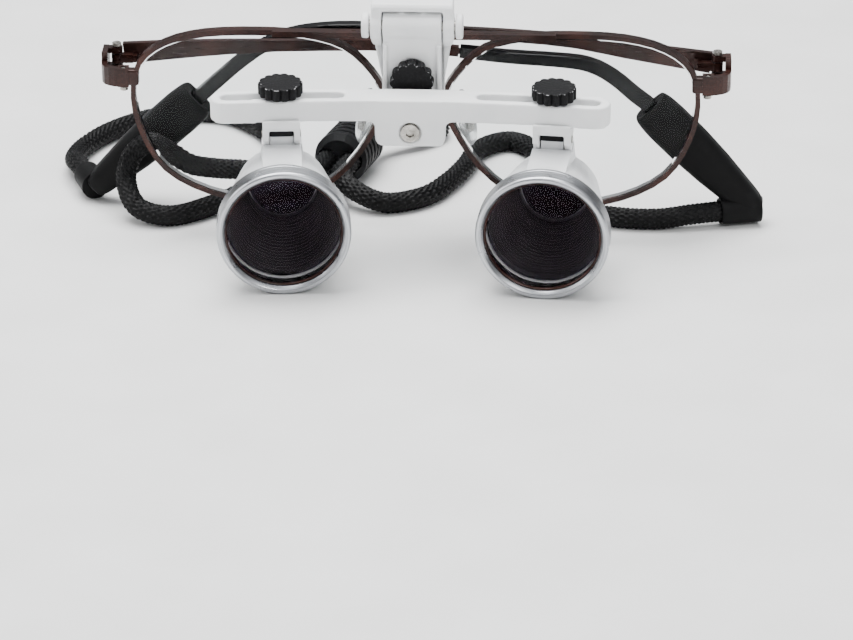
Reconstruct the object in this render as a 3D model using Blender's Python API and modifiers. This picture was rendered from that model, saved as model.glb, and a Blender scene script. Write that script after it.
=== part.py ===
"""Dental loupes: two flip-up magnifiers on a metal spectacle frame, with a neck strap.

Shapes are drawn in millimetres in the frame of the spectacle front: X across it, Y from the
wearer's view towards the back of the head, Z up the lenses, and Y = 0 in the lens plane. An
empty called stance leans that frame forward, as the loupes rest on their barrels and sleeves.
"""

import math

import bmesh
import bpy
from mathutils import Matrix, Vector

MM = 0.001
GAP = 0.3

# How the object stands: the front leans forward, over a floor that the rings touch.
LEAN = math.radians(5.0)
STAND_Y = 7.96
STAND_Z = 6.95

# Spectacle front, lens 54 mm, bridge 16 mm.
RIM_HALF_WIDTH = 0.55
RIM_DEPTH = 2.0
WRAP_RADIUS = 900.0
LENS_THICK = 1.6
BRIDGE_Z = 27.6
ENDPIECE_X = 69.0
ENDPIECE_Z = 29.4
STRAP_THICK = 1.3

# Temples, 140 mm along the bar and tip.
HINGE_X = 66.65
HINGE_Y = 9.4
HINGE_Z = 30.8
BAR_OFFSET = 1.6
BAR_END = 78.0
FOLD_LEFT = math.radians(-0.5)
FOLD_RIGHT = math.radians(2.7)

# Flip mount.
PIVOT_Y = -7.0
PIVOT_Z = 46.3
YOKE_HALF = 8.9
YOKE_TOP = 51.8
CHANNEL_HALF = 6.65
ARM_HALF = 6.35
ARM_FRONT = -9.2
ARM_BACK = -7.4
PIN_RADIUS = 1.2

# Height clamp and crossbar.
KNOB_RADIUS = 4.8
KNOB_THICK = 2.8
HEIGHT_KNOB_Z = 34.9
BAR_Y = -16.65
BAR_TOP = 34.3
BAR_BOTTOM = 29.3
BAR_HALF_DEPTH = 3.35
BAR_HALF_LENGTH = 43.3
ARC_RADIUS = 310.0
SLOT_INNER = 14.3
SLOT_OUTER = 41.1
SLOT_HALF = 1.55
SCREW_Z = 26.6

# Loupes, each at its own distance from the nose.
LOUPE_X = {"left": -28.0, "right": 30.9}
TILT_PIN_Y = -17.0
TILT_PIN_Z = 25.4
AXIS_Z = 10.8
RING_RADIUS = 14.45

CORD_RADIUS = 2.3
SIDES = {"left": -1, "right": 1}

for old in list(bpy.data.objects):
    bpy.data.objects.remove(old, do_unlink=True)

PARTS = bpy.data.collections.new("dental_loupes")
CUTTERS = bpy.data.collections.new("cutters")
bpy.context.scene.collection.children.link(PARTS)
bpy.context.scene.collection.children.link(CUTTERS)
CUTTERS.hide_render = True


def finish(name, colour, roughness, metallic=0.0, alpha=1.0):
    """A Principled material."""
    material = bpy.data.materials.new(name)
    material.use_nodes = True
    shader = material.node_tree.nodes["Principled BSDF"]
    shader.inputs["Base Color"].default_value = (*colour, 1.0)
    shader.inputs["Roughness"].default_value = roughness
    shader.inputs["Metallic"].default_value = metallic
    shader.inputs["Alpha"].default_value = alpha
    return material


BROWN_METAL = finish("brown_lacquered_metal", (0.050, 0.018, 0.014), 0.35, 0.8)
SILVER = finish("brushed_aluminium", (0.62, 0.64, 0.67), 0.32, 1.0)
STEEL = finish("screw_steel", (0.55, 0.53, 0.50), 0.3, 1.0)
WHITE_PLASTIC = finish("white_moulding", (0.80, 0.81, 0.81), 0.4)
BLACK_PLASTIC = finish("black_plastic", (0.015, 0.015, 0.018), 0.4)
TIP_PLASTIC = finish("gloss_black_tip", (0.010, 0.010, 0.012), 0.15)
RUBBER = finish("black_rubber", (0.014, 0.014, 0.015), 0.75)
CORD = finish("black_braid", (0.012, 0.012, 0.013), 0.85)
CLEAR = finish("clear_lens", (0.95, 0.96, 0.97), 0.02, alpha=0.25)
GLASS = finish("coated_glass", (0.10, 0.05, 0.09), 0.03, alpha=0.5)
SILICONE = finish("clear_silicone", (0.85, 0.87, 0.88), 0.15, alpha=0.4)

PIVOTS = {}


def pivot(name, place, parent=None, turn=0.0):
    """An empty on a joint's axis. place is in the front's frame, turn is about its Z."""
    empty = bpy.data.objects.new(name, None)
    PARTS.objects.link(empty)
    matrix = Matrix.Translation(Vector(place)) @ Matrix.Rotation(turn, 4, "Z")
    if parent:
        above = PIVOTS[parent]
        empty.parent = above["empty"]
        matrix = above["matrix"].inverted() @ matrix
    empty.location = matrix.to_translation() * MM
    empty.rotation_euler = matrix.to_euler()
    world = (PIVOTS[parent]["matrix"] if parent else Matrix.Identity(4)) @ matrix
    PIVOTS[name] = {"empty": empty, "matrix": world}
    return empty


def place_object(name, mesh, material, on, location, rotation, cutter):
    """Links a mesh as a part, or as a cutter, at a place given in the frame of the empty on."""
    thing = bpy.data.objects.new(name, mesh)
    (CUTTERS if cutter else PARTS).objects.link(thing)
    if cutter:
        thing.hide_render = True
        thing.display_type = "WIRE"
    thing.parent = PIVOTS[on]["empty"]
    thing.location = Vector(location) * MM
    thing.rotation_euler = rotation
    if material:
        mesh.materials.append(material)
    return thing


def box(name, low, high, material=None, on="stance", cutter=False, rotation=(0, 0, 0)):
    """A box between two corners."""
    low, high = Vector(low), Vector(high)
    form = bmesh.new()
    bmesh.ops.create_cube(form, size=1.0)
    size = (high - low) * MM
    bmesh.ops.scale(form, vec=size, verts=form.verts)
    mesh = bpy.data.meshes.new(name)
    form.to_mesh(mesh)
    form.free()
    return place_object(name, mesh, material, on, (low + high) / 2, rotation, cutter)


AXIS_TURN = {"X": (0, math.pi / 2, 0), "Y": (-math.pi / 2, 0, 0), "Z": (0, 0, 0)}


def rod(name, centre, radius, length, axis, material=None, on="stance", cutter=False, sides=20,
        end_radius=None):
    """A round bar, or a cone, along X, Y or Z."""
    form = bmesh.new()
    bmesh.ops.create_cone(
        form,
        cap_ends=True,
        segments=sides,
        radius1=radius * MM,
        radius2=(radius if end_radius is None else end_radius) * MM,
        depth=length * MM,
    )
    mesh = bpy.data.meshes.new(name)
    form.to_mesh(mesh)
    form.free()
    mesh.shade_smooth()
    mesh.set_sharp_from_angle(angle=math.radians(35))
    return place_object(name, mesh, material, on, centre, AXIS_TURN[axis], cutter)


def curve_mesh(curve, name):
    """The welded mesh of a curve."""
    holder = bpy.data.objects.new(name + "_curve", curve)
    bpy.context.scene.collection.objects.link(holder)
    graph = bpy.context.evaluated_depsgraph_get()
    mesh = bpy.data.meshes.new_from_object(holder.evaluated_get(graph))
    bpy.data.objects.remove(holder)
    form = bmesh.new()
    form.from_mesh(mesh)
    bmesh.ops.remove_doubles(form, verts=form.verts, dist=1e-6)
    bmesh.ops.recalc_face_normals(form, faces=form.faces)
    form.to_mesh(mesh)
    form.free()
    mesh.name = name
    return mesh


PLANE_TURN = {"XY": (0, 0, 0), "XZ": (math.pi / 2, 0, 0), "YZ": (math.pi / 2, 0, math.pi / 2)}


def plate(name, outlines, thick, centre, plane="XY", material=None, on="stance", cutter=False):
    """A flat outline, with any holes in it, extruded both ways by half its thickness.

    The outline's two coordinates lie along the two axes that plane names.
    """
    curve = bpy.data.curves.new(name, "CURVE")
    curve.dimensions = "2D"
    curve.fill_mode = "BOTH"
    curve.extrude = thick / 2 * MM
    for outline in outlines:
        spline = curve.splines.new("POLY")
        spline.points.add(len(outline) - 1)
        for point, (u, v) in zip(spline.points, outline):
            point.co = (u * MM, v * MM, 0, 1)
        spline.use_cyclic_u = True
    mesh = curve_mesh(curve, name)
    return place_object(name, mesh, material, on, centre, PLANE_TURN[plane], cutter)


def turned(name, profile, centre, steps, axis="Y", material=None, on="stance", cutter=False):
    """A closed profile of (radius, height) points, outer side first and top to bottom, revolved."""
    form = bmesh.new()
    points = [form.verts.new((r * MM, 0, h * MM)) for r, h in profile]
    closed = min(r for r, _ in profile) > 0
    for first, second in zip(points, points[1:] + points[:1] if closed else points[1:]):
        form.edges.new((first, second))
    mesh = bpy.data.meshes.new(name)
    form.to_mesh(mesh)
    form.free()
    thing = place_object(name, mesh, material, on, centre, AXIS_TURN[axis], cutter)
    screw = thing.modifiers.new("turn", "SCREW")
    screw.steps = steps
    screw.render_steps = steps
    screw.use_merge_vertices = True
    screw.merge_threshold = 1e-6
    screw.use_smooth_shade = True
    return thing


def combine(target, other, operation):
    """A Boolean of target with other, which becomes a hidden helper."""
    step = target.modifiers.new(operation.lower() + "_" + other.name, "BOOLEAN")
    step.operation = operation
    step.object = other
    step.solver = "EXACT"


def soften(thing, width, segments=1, angle=40):
    """Rounded edges."""
    bevel = thing.modifiers.new("edges", "BEVEL")
    bevel.width = width * MM
    bevel.segments = segments
    bevel.limit_method = "ANGLE"
    bevel.angle_limit = math.radians(angle)
    return bevel


def smooth_points(points, steps, closed=False):
    """Points of a Catmull-Rom curve through the given ones, steps to each span."""
    points = [Vector(p) for p in points]
    count = len(points)
    spans = count if closed else count - 1
    found = []
    for i in range(spans):
        if closed:
            a, b, c, d = (points[(i + k) % count] for k in (-1, 0, 1, 2))
        else:
            b, c = points[i], points[i + 1]
            a = points[i - 1] if i else b * 2 - c
            d = points[i + 2] if i + 2 < count else c * 2 - b
        for k in range(steps):
            t = k / steps
            found.append(
                0.5 * (2 * b + (c - a) * t + (2 * a - 5 * b + 4 * c - d) * t**2
                       + (3 * b - a - 3 * c + d) * t**3)
            )
    if not closed:
        found.append(points[-1])
    return found


def offset_outline(points, distance):
    """A closed anticlockwise outline moved outwards by distance."""
    count = len(points)
    moved = []
    for i, point in enumerate(points):
        along = (points[(i + 1) % count] - points[i - 1]).normalized()
        moved.append(Vector((point.x + along.y * distance, point.y - along.x * distance)))
    return moved


def arc(centre, radius, start, end, steps):
    """Points on an arc, angles in degrees."""
    angles = [math.radians(start + (end - start) * k / steps) for k in range(steps + 1)]
    return [(centre[0] + radius * math.cos(a), centre[1] + radius * math.sin(a)) for a in angles]


stance = pivot("stance", (0, 0, 0))
stance.rotation_euler = (LEAN, 0, 0)
stance.location = Vector((0, STAND_Y, STAND_Z)) * MM


# ---- Spectacle front -------------------------------------------------------------------

# The rim's centre line over the right lens, clockwise from its top.
LENS_OUTLINE = (
    (34.0, 41.4), (46.0, 40.6), (55.0, 37.9), (60.8, 32.8), (62.4, 24.5), (60.6, 15.8),
    (55.6, 7.4), (46.0, 2.2), (34.0, 0.3), (23.5, 2.4), (14.5, 9.8), (8.6, 19.3),
    (6.4, 26.0), (9.2, 32.4), (15.4, 38.4), (24.0, 40.9),
)


def lens_outline(side):
    """The rim's centre line on one side, anticlockwise."""
    points = [(side * x, z) for x, z in LENS_OUTLINE]
    if side > 0:
        points.reverse()
    return smooth_points(points, 3, closed=True)


def wrap(thing):
    """Bends a flat front piece back towards the temples."""
    for vertex in thing.data.vertices:
        vertex.co.z -= vertex.co.x**2 / (2 * WRAP_RADIUS * MM)
    return thing


def wire(name, points, radius, material=None, cutter=False, on="stance", resolution=1):
    """A round wire along points in the front's frame."""
    curve = bpy.data.curves.new(name, "CURVE")
    curve.dimensions = "3D"
    curve.bevel_depth = radius * MM
    curve.bevel_resolution = resolution
    curve.use_fill_caps = True
    spline = curve.splines.new("POLY")
    spline.points.add(len(points) - 1)
    for point, place in zip(spline.points, points):
        point.co = (*(Vector(place) * MM), 1)
    return place_object(name, curve_mesh(curve, name), material, on, (0, 0, 0), (0, 0, 0), cutter)


front_frame = box("front_frame", (-31, -1.9, 40.9), (31, 0.4, 42.2), BROWN_METAL)
for side_name, side in SIDES.items():
    middle = lens_outline(side)
    rim = plate(
        "rim_" + side_name,
        [offset_outline(middle, RIM_HALF_WIDTH), offset_outline(middle, -RIM_HALF_WIDTH)],
        RIM_DEPTH, (0, 0, 0), "XZ", cutter=True,
    )
    combine(front_frame, wrap(rim), "UNION")
    lens = plate(
        "lens_" + side_name, [offset_outline(middle, -RIM_HALF_WIDTH - GAP)],
        LENS_THICK, (0, 0, 0), "XZ", CLEAR,
    )
    wrap(lens)
bridge_path = smooth_points(
    [(-6.5, 0, BRIDGE_Z), (-3.6, 0.5, BRIDGE_Z + 1.6), (3.6, 0.5, BRIDGE_Z + 1.6), (6.5, 0, BRIDGE_Z)], 2
)
combine(front_frame, wire("bridge", bridge_path, 0.85, cutter=True), "UNION")


def ribbon(middle, heights):
    """The outline of a band along middle, whose width at each u is read from heights."""
    def width(u):
        for (u0, w0), (u1, w1) in zip(heights, heights[1:]):
            if u <= u1:
                return w0 + (w1 - w0) * max(u - u0, 0) / (u1 - u0)
        return heights[-1][1]

    upper, lower = [], []
    for i, point in enumerate(middle):
        along = (middle[min(i + 1, len(middle) - 1)] - middle[max(i - 1, 0)]).normalized()
        across = Vector((-along.y, along.x)) * width(point.x) / 2
        upper.append(point + across)
        lower.append(point - across)
    return lower + upper[::-1]


ENDPIECE_HEIGHT = 4.3
LUG_RADIUS = 1.3
PIN_HOLE = 0.62

for side_name, side in SIDES.items():
    path = smooth_points(
        [(63.4, 1.5), (66.2, 1.7), (68.3, 2.9), (ENDPIECE_X, 5.2), (ENDPIECE_X, 10.3)], 2
    )
    path = [Vector((side * p.x, p.y)) for p in path]
    endpiece = plate(
        "endpiece_" + side_name, [ribbon(path, [(-100, STRAP_THICK), (100, STRAP_THICK)])],
        ENDPIECE_HEIGHT, (0, 0, ENDPIECE_Z), "XY", BROWN_METAL,
    )
    low_z = ENDPIECE_Z - ENDPIECE_HEIGHT / 2
    high_z = ENDPIECE_Z + ENDPIECE_HEIGHT / 2
    block = [side * 63.25, side * 65.7]
    closing_block = box(
        "closing_block_" + side_name, (min(block), 0.75, low_z + 0.02), (max(block), 3.3, high_z - 0.02),
        cutter=True,
    )
    combine(endpiece, closing_block, "UNION")
    tab = [side * 68.38, side * 69.62]
    combine(endpiece, box(
        "rear_tab_" + side_name, (min(tab), 5.6, low_z + 0.4), (max(tab), 10.28, 33.4), cutter=True,
    ), "UNION")
    for label, lug_z in (("low", 28.6), ("high", 32.7)):
        lug = rod(
            f"{label}_lug_{side_name}", (side * HINGE_X, HINGE_Y, lug_z), LUG_RADIUS, 1.3, "Z",
            cutter=True, sides=16,
        )
        web = [side * HINGE_X, side * 68.95]
        combine(endpiece, lug, "UNION")
        combine(endpiece, box(
            f"{label}_web_{side_name}", (min(web), HINGE_Y - 1.1, lug_z - 0.6),
            (max(web), HINGE_Y + 0.85, lug_z + 0.6), cutter=True,
        ), "UNION")
    combine(endpiece, rod(
        "endpiece_hole_" + side_name, (side * HINGE_X, HINGE_Y, HINGE_Z), PIN_HOLE, 12, "Z",
        cutter=True, sides=12,
    ), "DIFFERENCE")
    combine(endpiece, rod(
        "rim_screw_hole_" + side_name, (side * 64.45, 2.0, ENDPIECE_Z), 0.62, 9, "Z", cutter=True, sides=12,
    ), "DIFFERENCE")

    rim_screw = rod(
        "rim_screw_" + side_name, (side * 64.45, 2.0, ENDPIECE_Z - 0.3), 0.45, 4.6, "Z", STEEL, sides=10
    )
    combine(rim_screw, rod(
        "rim_screw_head_" + side_name, (side * 64.45, 2.0, low_z - 0.65), 0.9, 0.7, "Z",
        cutter=True, sides=12,
    ), "UNION")
    hinge_screw = rod(
        "hinge_screw_" + side_name, (side * HINGE_X, HINGE_Y, HINGE_Z), 0.5, 6.4, "Z", STEEL, sides=10
    )
    combine(hinge_screw, rod(
        "hinge_screw_head_" + side_name, (side * HINGE_X, HINGE_Y, 33.95), 1.0, 0.6, "Z",
        cutter=True, sides=12,
    ), "UNION")

    pad_place = (side * 11.2, 6.4, 18.8)
    arm_path = smooth_points([
        (side * 8.9, 1.75, 19.4), (side * 7.9, 3.4, 20.6), (side * 8.1, 5.6, 20.4), (side * 8.95, 6.3, 19.4),
    ], 3)
    wire("pad_arm_" + side_name, arm_path, 0.45, BROWN_METAL)
    pad_pivot = "pad_pivot_" + side_name
    pivot(pad_pivot, pad_place, "stance")
    form = bmesh.new()
    bmesh.ops.create_uvsphere(form, u_segments=14, v_segments=8, radius=MM)
    bmesh.ops.scale(form, vec=(1.25, 3.5, 6.5), verts=form.verts)
    pad_mesh = bpy.data.meshes.new("nose_pad_" + side_name)
    form.to_mesh(pad_mesh)
    form.free()
    pad_mesh.shade_smooth()
    place_object(
        "nose_pad_" + side_name, pad_mesh, SILICONE, pad_pivot, (0, 0, 0),
        (0, side * math.radians(-14), side * math.radians(-22)), False,
    )


# ---- Temples, ear tips and rubber sleeves ----------------------------------------------

# Each run is the side view of one temple and tip: distance from the hinge and height.
TEMPLE_RUNS = {
    "left": ((1.4, 31.2), (25, 33.2), (56, 34.2), (76, 33.0), (87, 32.0), (98, 31.4), (105, 30.4),
             (110.3, 27.6), (115.4, 23.2), (119.7, 19.6), (132, 7.3)),
    "right": ((1.4, 30.8), (20, 33.2), (33, 35.0), (50, 35.9), (67, 36.2), (81, 36.3), (89, 35.6),
              (95, 34.3), (100.5, 32.0), (106.3, 27.7), (111, 23.4), (116, 18.6), (128, 6.8)),
}
BAR_HEIGHTS = ((0, 4.9), (20, 3.7), (34, 2.7), (78, 2.3))
TIP_HEIGHTS = ((78, 2.5), (98, 2.8), (118, 3.2), (132, 2.8))
TIP_THICK = 2.4
CORE_END = 94.0
SLEEVE_MOUTH = {"left": 118.6, "right": 116.4}
SLEEVE_END = {"left": (143.0, -4.45), "right": (141.0, -5.05)}
SLEEVE_THICK = 6.6
NOZZLE_RADIUS = 3.1
NOZZLE_REACH = {"left": 8.5, "right": 6.5}
NOZZLE_TURN = {"left": math.radians(-165), "right": math.radians(115)}

for side_name, side in SIDES.items():
    back = -side
    hinge = "temple_hinge_" + side_name
    turn = FOLD_LEFT if side < 0 else math.pi - FOLD_RIGHT
    pivot(hinge, (side * HINGE_X, HINGE_Y, 0), "stance", turn)
    run = smooth_points(TEMPLE_RUNS[side_name], 3)
    bar_run = [p for p in run if p.x <= BAR_END]
    bar_last = bar_run[-1]
    tip_first = bar_last + (run[len(bar_run)] - bar_last).normalized() * GAP
    tip_run = [tip_first] + [p for p in run if p.x > tip_first.x]
    middle_y = back * BAR_OFFSET

    temple = plate(
        "temple_" + side_name, [ribbon(bar_run, BAR_HEIGHTS)], STRAP_THICK, (0, middle_y, 0), "XZ",
        BROWN_METAL, hinge,
    )
    combine(temple, rod(
        "temple_lug_" + side_name, (0, 0, 30.65), LUG_RADIUS - 0.05, 2.1, "Z",
        on=hinge, cutter=True, sides=16,
    ), "UNION")
    lug_y = sorted((back * -0.9, back * 0.85))
    combine(temple, box(
        "temple_web_" + side_name, (0, lug_y[0], 29.7), (3.6, lug_y[1], 31.6), on=hinge, cutter=True,
    ), "UNION")
    root_y = sorted((back * -0.8, back * 1.5))
    combine(temple, box(
        "temple_root_" + side_name, (1.7, root_y[0], 29.9), (4.4, root_y[1], 31.4), on=hinge, cutter=True,
    ), "UNION")
    core_run = [p for p in run if BAR_END - 6 < p.x < CORE_END]
    core = plate(
        "temple_core_" + side_name, [ribbon(core_run, [(0, 1.2), (200, 1.2)])], 0.9, (0, middle_y, 0), "XZ",
        on=hinge, cutter=True,
    )
    combine(temple, core, "UNION")
    combine(temple, rod(
        "temple_hole_" + side_name, (0, 0, HINGE_Z), PIN_HOLE, 8, "Z", on=hinge, cutter=True, sides=12,
    ), "DIFFERENCE")

    tip = plate(
        "temple_tip_" + side_name, [ribbon(tip_run, TIP_HEIGHTS)], TIP_THICK, (0, middle_y, 0), "XZ",
        TIP_PLASTIC, hinge,
    )
    soften(tip, 0.5)
    tip_bore = plate(
        "tip_bore_" + side_name,
        [ribbon([bar_last] + [p for p in tip_run if p.x < CORE_END + 2], [(0, 1.8), (200, 1.8)])],
        1.5, (0, middle_y, 0), "XZ", on=hinge, cutter=True,
    )
    combine(tip, tip_bore, "DIFFERENCE")

    mouth_x = SLEEVE_MOUTH[side_name]
    mouth_z = min(run, key=lambda p: abs(p.x - mouth_x)).y
    start = Vector((mouth_x, mouth_z))
    end = Vector(SLEEVE_END[side_name])
    along = (end - start).normalized()
    across = Vector((-along.y, along.x))
    length = (end - start).length
    shape = ((0.0, 4.4), (0.07, 4.9), (0.38, 4.8), (0.75, 3.6), (1.0, 2.7))
    outline = [start + along * (t * length) + across * w for t, w in shape]
    outline += [start + along * (t * length) - across * w for t, w in reversed(shape)]
    sleeve = plate(
        "sleeve_" + side_name, [outline], SLEEVE_THICK, (0, middle_y, 0), "XZ", RUBBER, hinge
    )
    soften(sleeve, 1.2)
    nozzle_turn = NOZZLE_TURN[side_name] - turn
    nozzle_along = Vector((math.cos(nozzle_turn), math.sin(nozzle_turn), 0))
    nozzle_foot = Vector((end.x, middle_y, end.y + 0.35))
    nozzle_reach = NOZZLE_REACH[side_name]
    nozzle = rod(
        "nozzle_" + side_name, nozzle_foot + nozzle_along * (nozzle_reach / 2 - 0.75), NOZZLE_RADIUS,
        nozzle_reach + 1.5, "X", on=hinge, cutter=True, sides=16,
    )
    nozzle.rotation_euler = Matrix.Rotation(nozzle_turn, 4, "Z").to_euler()
    nozzle.data.transform(Matrix.Rotation(math.pi / 2, 4, "Y"))
    combine(sleeve, nozzle, "UNION")
    nozzle_bore = rod(
        "nozzle_bore_" + side_name, nozzle_foot + nozzle_along * nozzle_reach, CORD_RADIUS + GAP, 9.0, "X",
        on=hinge, cutter=True, sides=16,
    )
    nozzle_bore.rotation_euler = nozzle.rotation_euler
    nozzle_bore.data.transform(Matrix.Rotation(math.pi / 2, 4, "Y"))
    combine(sleeve, nozzle_bore, "DIFFERENCE")
    pocket_run = [p for p in tip_run if p.x >= mouth_x - 5] + [tip_run[-1] + along * 0.6]
    pocket = plate(
        "pocket_" + side_name,
        [ribbon(pocket_run, [(u, h + 0.7) for u, h in TIP_HEIGHTS])], TIP_THICK + 0.7,
        (0, middle_y, 0), "XZ", on=hinge, cutter=True,
    )
    combine(sleeve, pocket, "DIFFERENCE")


# ---- Flip mount on the brow bar --------------------------------------------------------

YOKE_BACK = -2.4
YOKE_OUTLINE = (
    (-YOKE_HALF, YOKE_TOP), (-YOKE_HALF, 43.2), (-8.3, 41.0), (-6.9, 33.0), (-6.9, 27.5),
    (6.9, 27.5), (6.9, 33.0), (8.3, 41.0), (YOKE_HALF, 43.2), (YOKE_HALF, YOKE_TOP),
)
YOKE_SIDE = (
    (YOKE_BACK, 27.5), (YOKE_BACK, YOKE_TOP), (-8.0, YOKE_TOP), (-8.7, 51.0), (-8.7, 43.4),
    (-7.6, 42.0), (-5.2, 41.0), (-4.6, 33.0), (-4.6, 27.5),
)
mount_yoke = plate("mount_yoke", [YOKE_OUTLINE], 8, (0, -6.0, 0), "XZ", WHITE_PLASTIC)
combine(mount_yoke, plate("yoke_side", [YOKE_SIDE], 20, (0, 0, 0), "YZ", cutter=True), "INTERSECT")
combine(mount_yoke, box(
    "yoke_channel", (-CHANNEL_HALF, -9.5, 26), (CHANNEL_HALF, -3.3, 50.1), cutter=True,
), "DIFFERENCE")
for side_name, side in SIDES.items():
    boss = rod("yoke_boss_" + side_name, (side * 7.9, PIVOT_Y, PIVOT_Z), 2.8, 2.4, "X", cutter=True, sides=24)
    combine(mount_yoke, boss, "UNION")
combine(mount_yoke, rod(
    "yoke_pin_hole", (0, PIVOT_Y, PIVOT_Z), PIN_RADIUS + 0.3, 30, "X", cutter=True, sides=20,
), "DIFFERENCE")
combine(mount_yoke, box("brow_groove", (-12, -3, 40.6), (12, -1.6, 42.5), cutter=True), "DIFFERENCE")

clamp_plate = box("clamp_plate", (-6.5, 1.4, 31.0), (6.5, 3.0, 47.5), WHITE_PLASTIC)
soften(clamp_plate, 0.5)
for label, screw_z in (("upper", 45.2), ("lower", 37.2)):
    hole = rod(f"mount_hole_{label}", (0, 0, screw_z), 1.1, 30, "Y", cutter=True, sides=16)
    combine(clamp_plate, hole, "DIFFERENCE")
    screw = rod(f"mount_screw_{label}", (0, 0.3, screw_z), 0.8, 6.6, "Y", STEEL, sides=14)
    combine(screw, rod(
        f"mount_screw_head_{label}", (0, 3.9, screw_z), 1.6, 1.2, "Y", cutter=True, sides=16,
    ), "UNION")
    combine(screw, box(
        f"mount_screw_slot_{label}", (-2, 4.1, screw_z - 0.2), (2, 5, screw_z + 0.2), cutter=True,
    ), "DIFFERENCE")
screw_holes = rod("mount_screw_seat", (0, -2.4, 45.2), 1.1, 2.4, "Y", cutter=True, sides=16)
combine(mount_yoke, screw_holes, "DIFFERENCE")
combine(mount_yoke, rod("mount_screw_seat_low", (0, -2.4, 37.2), 1.1, 3.4, "Y", cutter=True, sides=16),
        "DIFFERENCE")

pivot_pin = rod("pivot_pin", (0, PIVOT_Y, PIVOT_Z), PIN_RADIUS, 20.4, "X", STEEL, sides=20)
for side_name, side in SIDES.items():
    cap = rod(
        "pivot_cap_" + side_name, (side * 10.2, PIVOT_Y, PIVOT_Z), 2.8, 1.6, "X", WHITE_PLASTIC, sides=24
    )
    soften(cap, 0.35, 2)
    combine(cap, rod(
        "pivot_cap_bore_" + side_name, (side * 9.9, PIVOT_Y, PIVOT_Z), PIN_RADIUS + 0.3, 1.6, "X",
        cutter=True, sides=20,
    ), "DIFFERENCE")


# ---- Flip arm with its height slot -----------------------------------------------------

pivot("flip_pivot", (0, PIVOT_Y, PIVOT_Z), "stance")


def on_flip(point):
    """A place in the front's frame, given from the flip pivot."""
    return Vector(point) - Vector((0, PIVOT_Y, PIVOT_Z))


def flip_box(name, low, high, material=None, cutter=True):
    return box(name, on_flip(low), on_flip(high), material, "flip_pivot", cutter)


flip_arm = flip_box(
    "flip_arm", (-ARM_HALF, ARM_FRONT, 18.5), (ARM_HALF, ARM_BACK, 46.5), WHITE_PLASTIC, False
)
combine(flip_arm, rod(
    "arm_knuckle", (0, 0, 0), 3.1, 2 * ARM_HALF, "X", on="flip_pivot", cutter=True, sides=28,
), "UNION")
for side_name, side in SIDES.items():
    flange = sorted((side * (ARM_HALF - 0.95), side * (ARM_HALF - 0.01)))
    combine(flip_arm, flip_box(
        "arm_flange_" + side_name, (flange[0], -10.3, 22), (flange[1], ARM_BACK - 0.4, 43),
    ), "UNION")
    bump = rod("arm_bump_" + side_name, on_flip((side * 2.4, -7.0, 49.1)), 0.7, 1.2, "Z", on="flip_pivot",
               cutter=True, sides=12)
    combine(flip_arm, bump, "UNION")
slot_outline = [(-2.9, 20.1), (2.9, 20.1)] + arc((0, 36.5), 2.9, 0, 180, 8)
arm_slot = plate(
    "arm_slot", [slot_outline], 6, (0, -8 - PIVOT_Y, -PIVOT_Z), "XZ", on="flip_pivot", cutter=True
)
combine(flip_arm, arm_slot, "DIFFERENCE")
combine(flip_arm, rod(
    "arm_bore", (0, 0, 0), PIN_RADIUS + 0.15, 30, "X", on="flip_pivot", cutter=True, sides=20,
), "DIFFERENCE")


# ---- Height carriage, its knob and the crossbar ----------------------------------------

KNOB_AXIS = (0, -10.0, HEIGHT_KNOB_Z)
pivot("height_slide", KNOB_AXIS, "flip_pivot")


def on_slide(point):
    """A place in the front's frame, given from the height slide."""
    return Vector(point) - Vector(KNOB_AXIS)


def slide_box(name, low, high, material=None, cutter=True):
    return box(name, on_slide(low), on_slide(high), material, "height_slide", cutter)


def slide_rod(name, centre, radius, length, axis, material=None, cutter=True, sides=20):
    return rod(name, on_slide(centre), radius, length, axis, material, "height_slide", cutter, sides)


height_carriage = slide_box(
    "height_carriage", (-5.6, -7.1, 22.8), (5.6, -5.3, 39.0), WHITE_PLASTIC, False
)
combine(height_carriage, slide_box("carriage_boss", (-2.6, -16.5, 23.6), (2.6, -6.8, 29.0)), "UNION")
combine(height_carriage, slide_rod("carriage_stud_hole", (0, -6.2, HEIGHT_KNOB_Z), 1.5, 4, "Y"), "DIFFERENCE")
combine(height_carriage, slide_rod("carriage_screw_hole", (0, -13.4, SCREW_Z), 1.4, 7.4, "Y"), "DIFFERENCE")
soften(height_carriage, 0.3)


def scalloped(radius, lobes, depth, points_each=6):
    """A disc's outline with shallow finger grips round it."""
    count = lobes * points_each
    outline = []
    for k in range(count):
        angle = math.tau * k / count
        dip = 0.5 - 0.5 * math.cos(lobes * angle)
        reach = radius - depth * dip**3
        outline.append((reach * math.cos(angle), reach * math.sin(angle)))
    return outline


def knob(name, on, centre, axis, radius, lobes, bore_shift):
    """A scalloped finger knob with a blind bore from its lower or inner face."""
    plane = "XZ" if axis == "Y" else "XY"
    thing = plate(name, [scalloped(radius, lobes, 0.55)], KNOB_THICK, centre, plane, BLACK_PLASTIC, on)
    soften(thing, 0.3, 1, 50)
    combine(thing, rod(
        name + "_bore", Vector(centre) + Vector(bore_shift), 1.5, KNOB_THICK - 0.4, axis, on=on, cutter=True,
        sides=16,
    ), "DIFFERENCE")
    return thing


pivot("height_knob_axis", KNOB_AXIS, "height_slide")
knob("height_knob", "height_knob_axis", (0, -0.9, 0), "Y", KNOB_RADIUS, 12, (0, 0.7, 0))
rod("height_stud", (0, 1.85, 0), 1.2, 5.9, "Y", STEEL, "height_knob_axis", sides=16)

BAR_CENTRE_Y = BAR_Y - ARC_RADIUS


def bar_point(along, offset=0.0):
    """The plan place at a distance along the crossbar's curve, offset backwards across it."""
    angle = along / ARC_RADIUS
    reach = ARC_RADIUS + offset
    return Vector((reach * math.sin(angle), BAR_CENTRE_Y + reach * math.cos(angle)))


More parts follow.
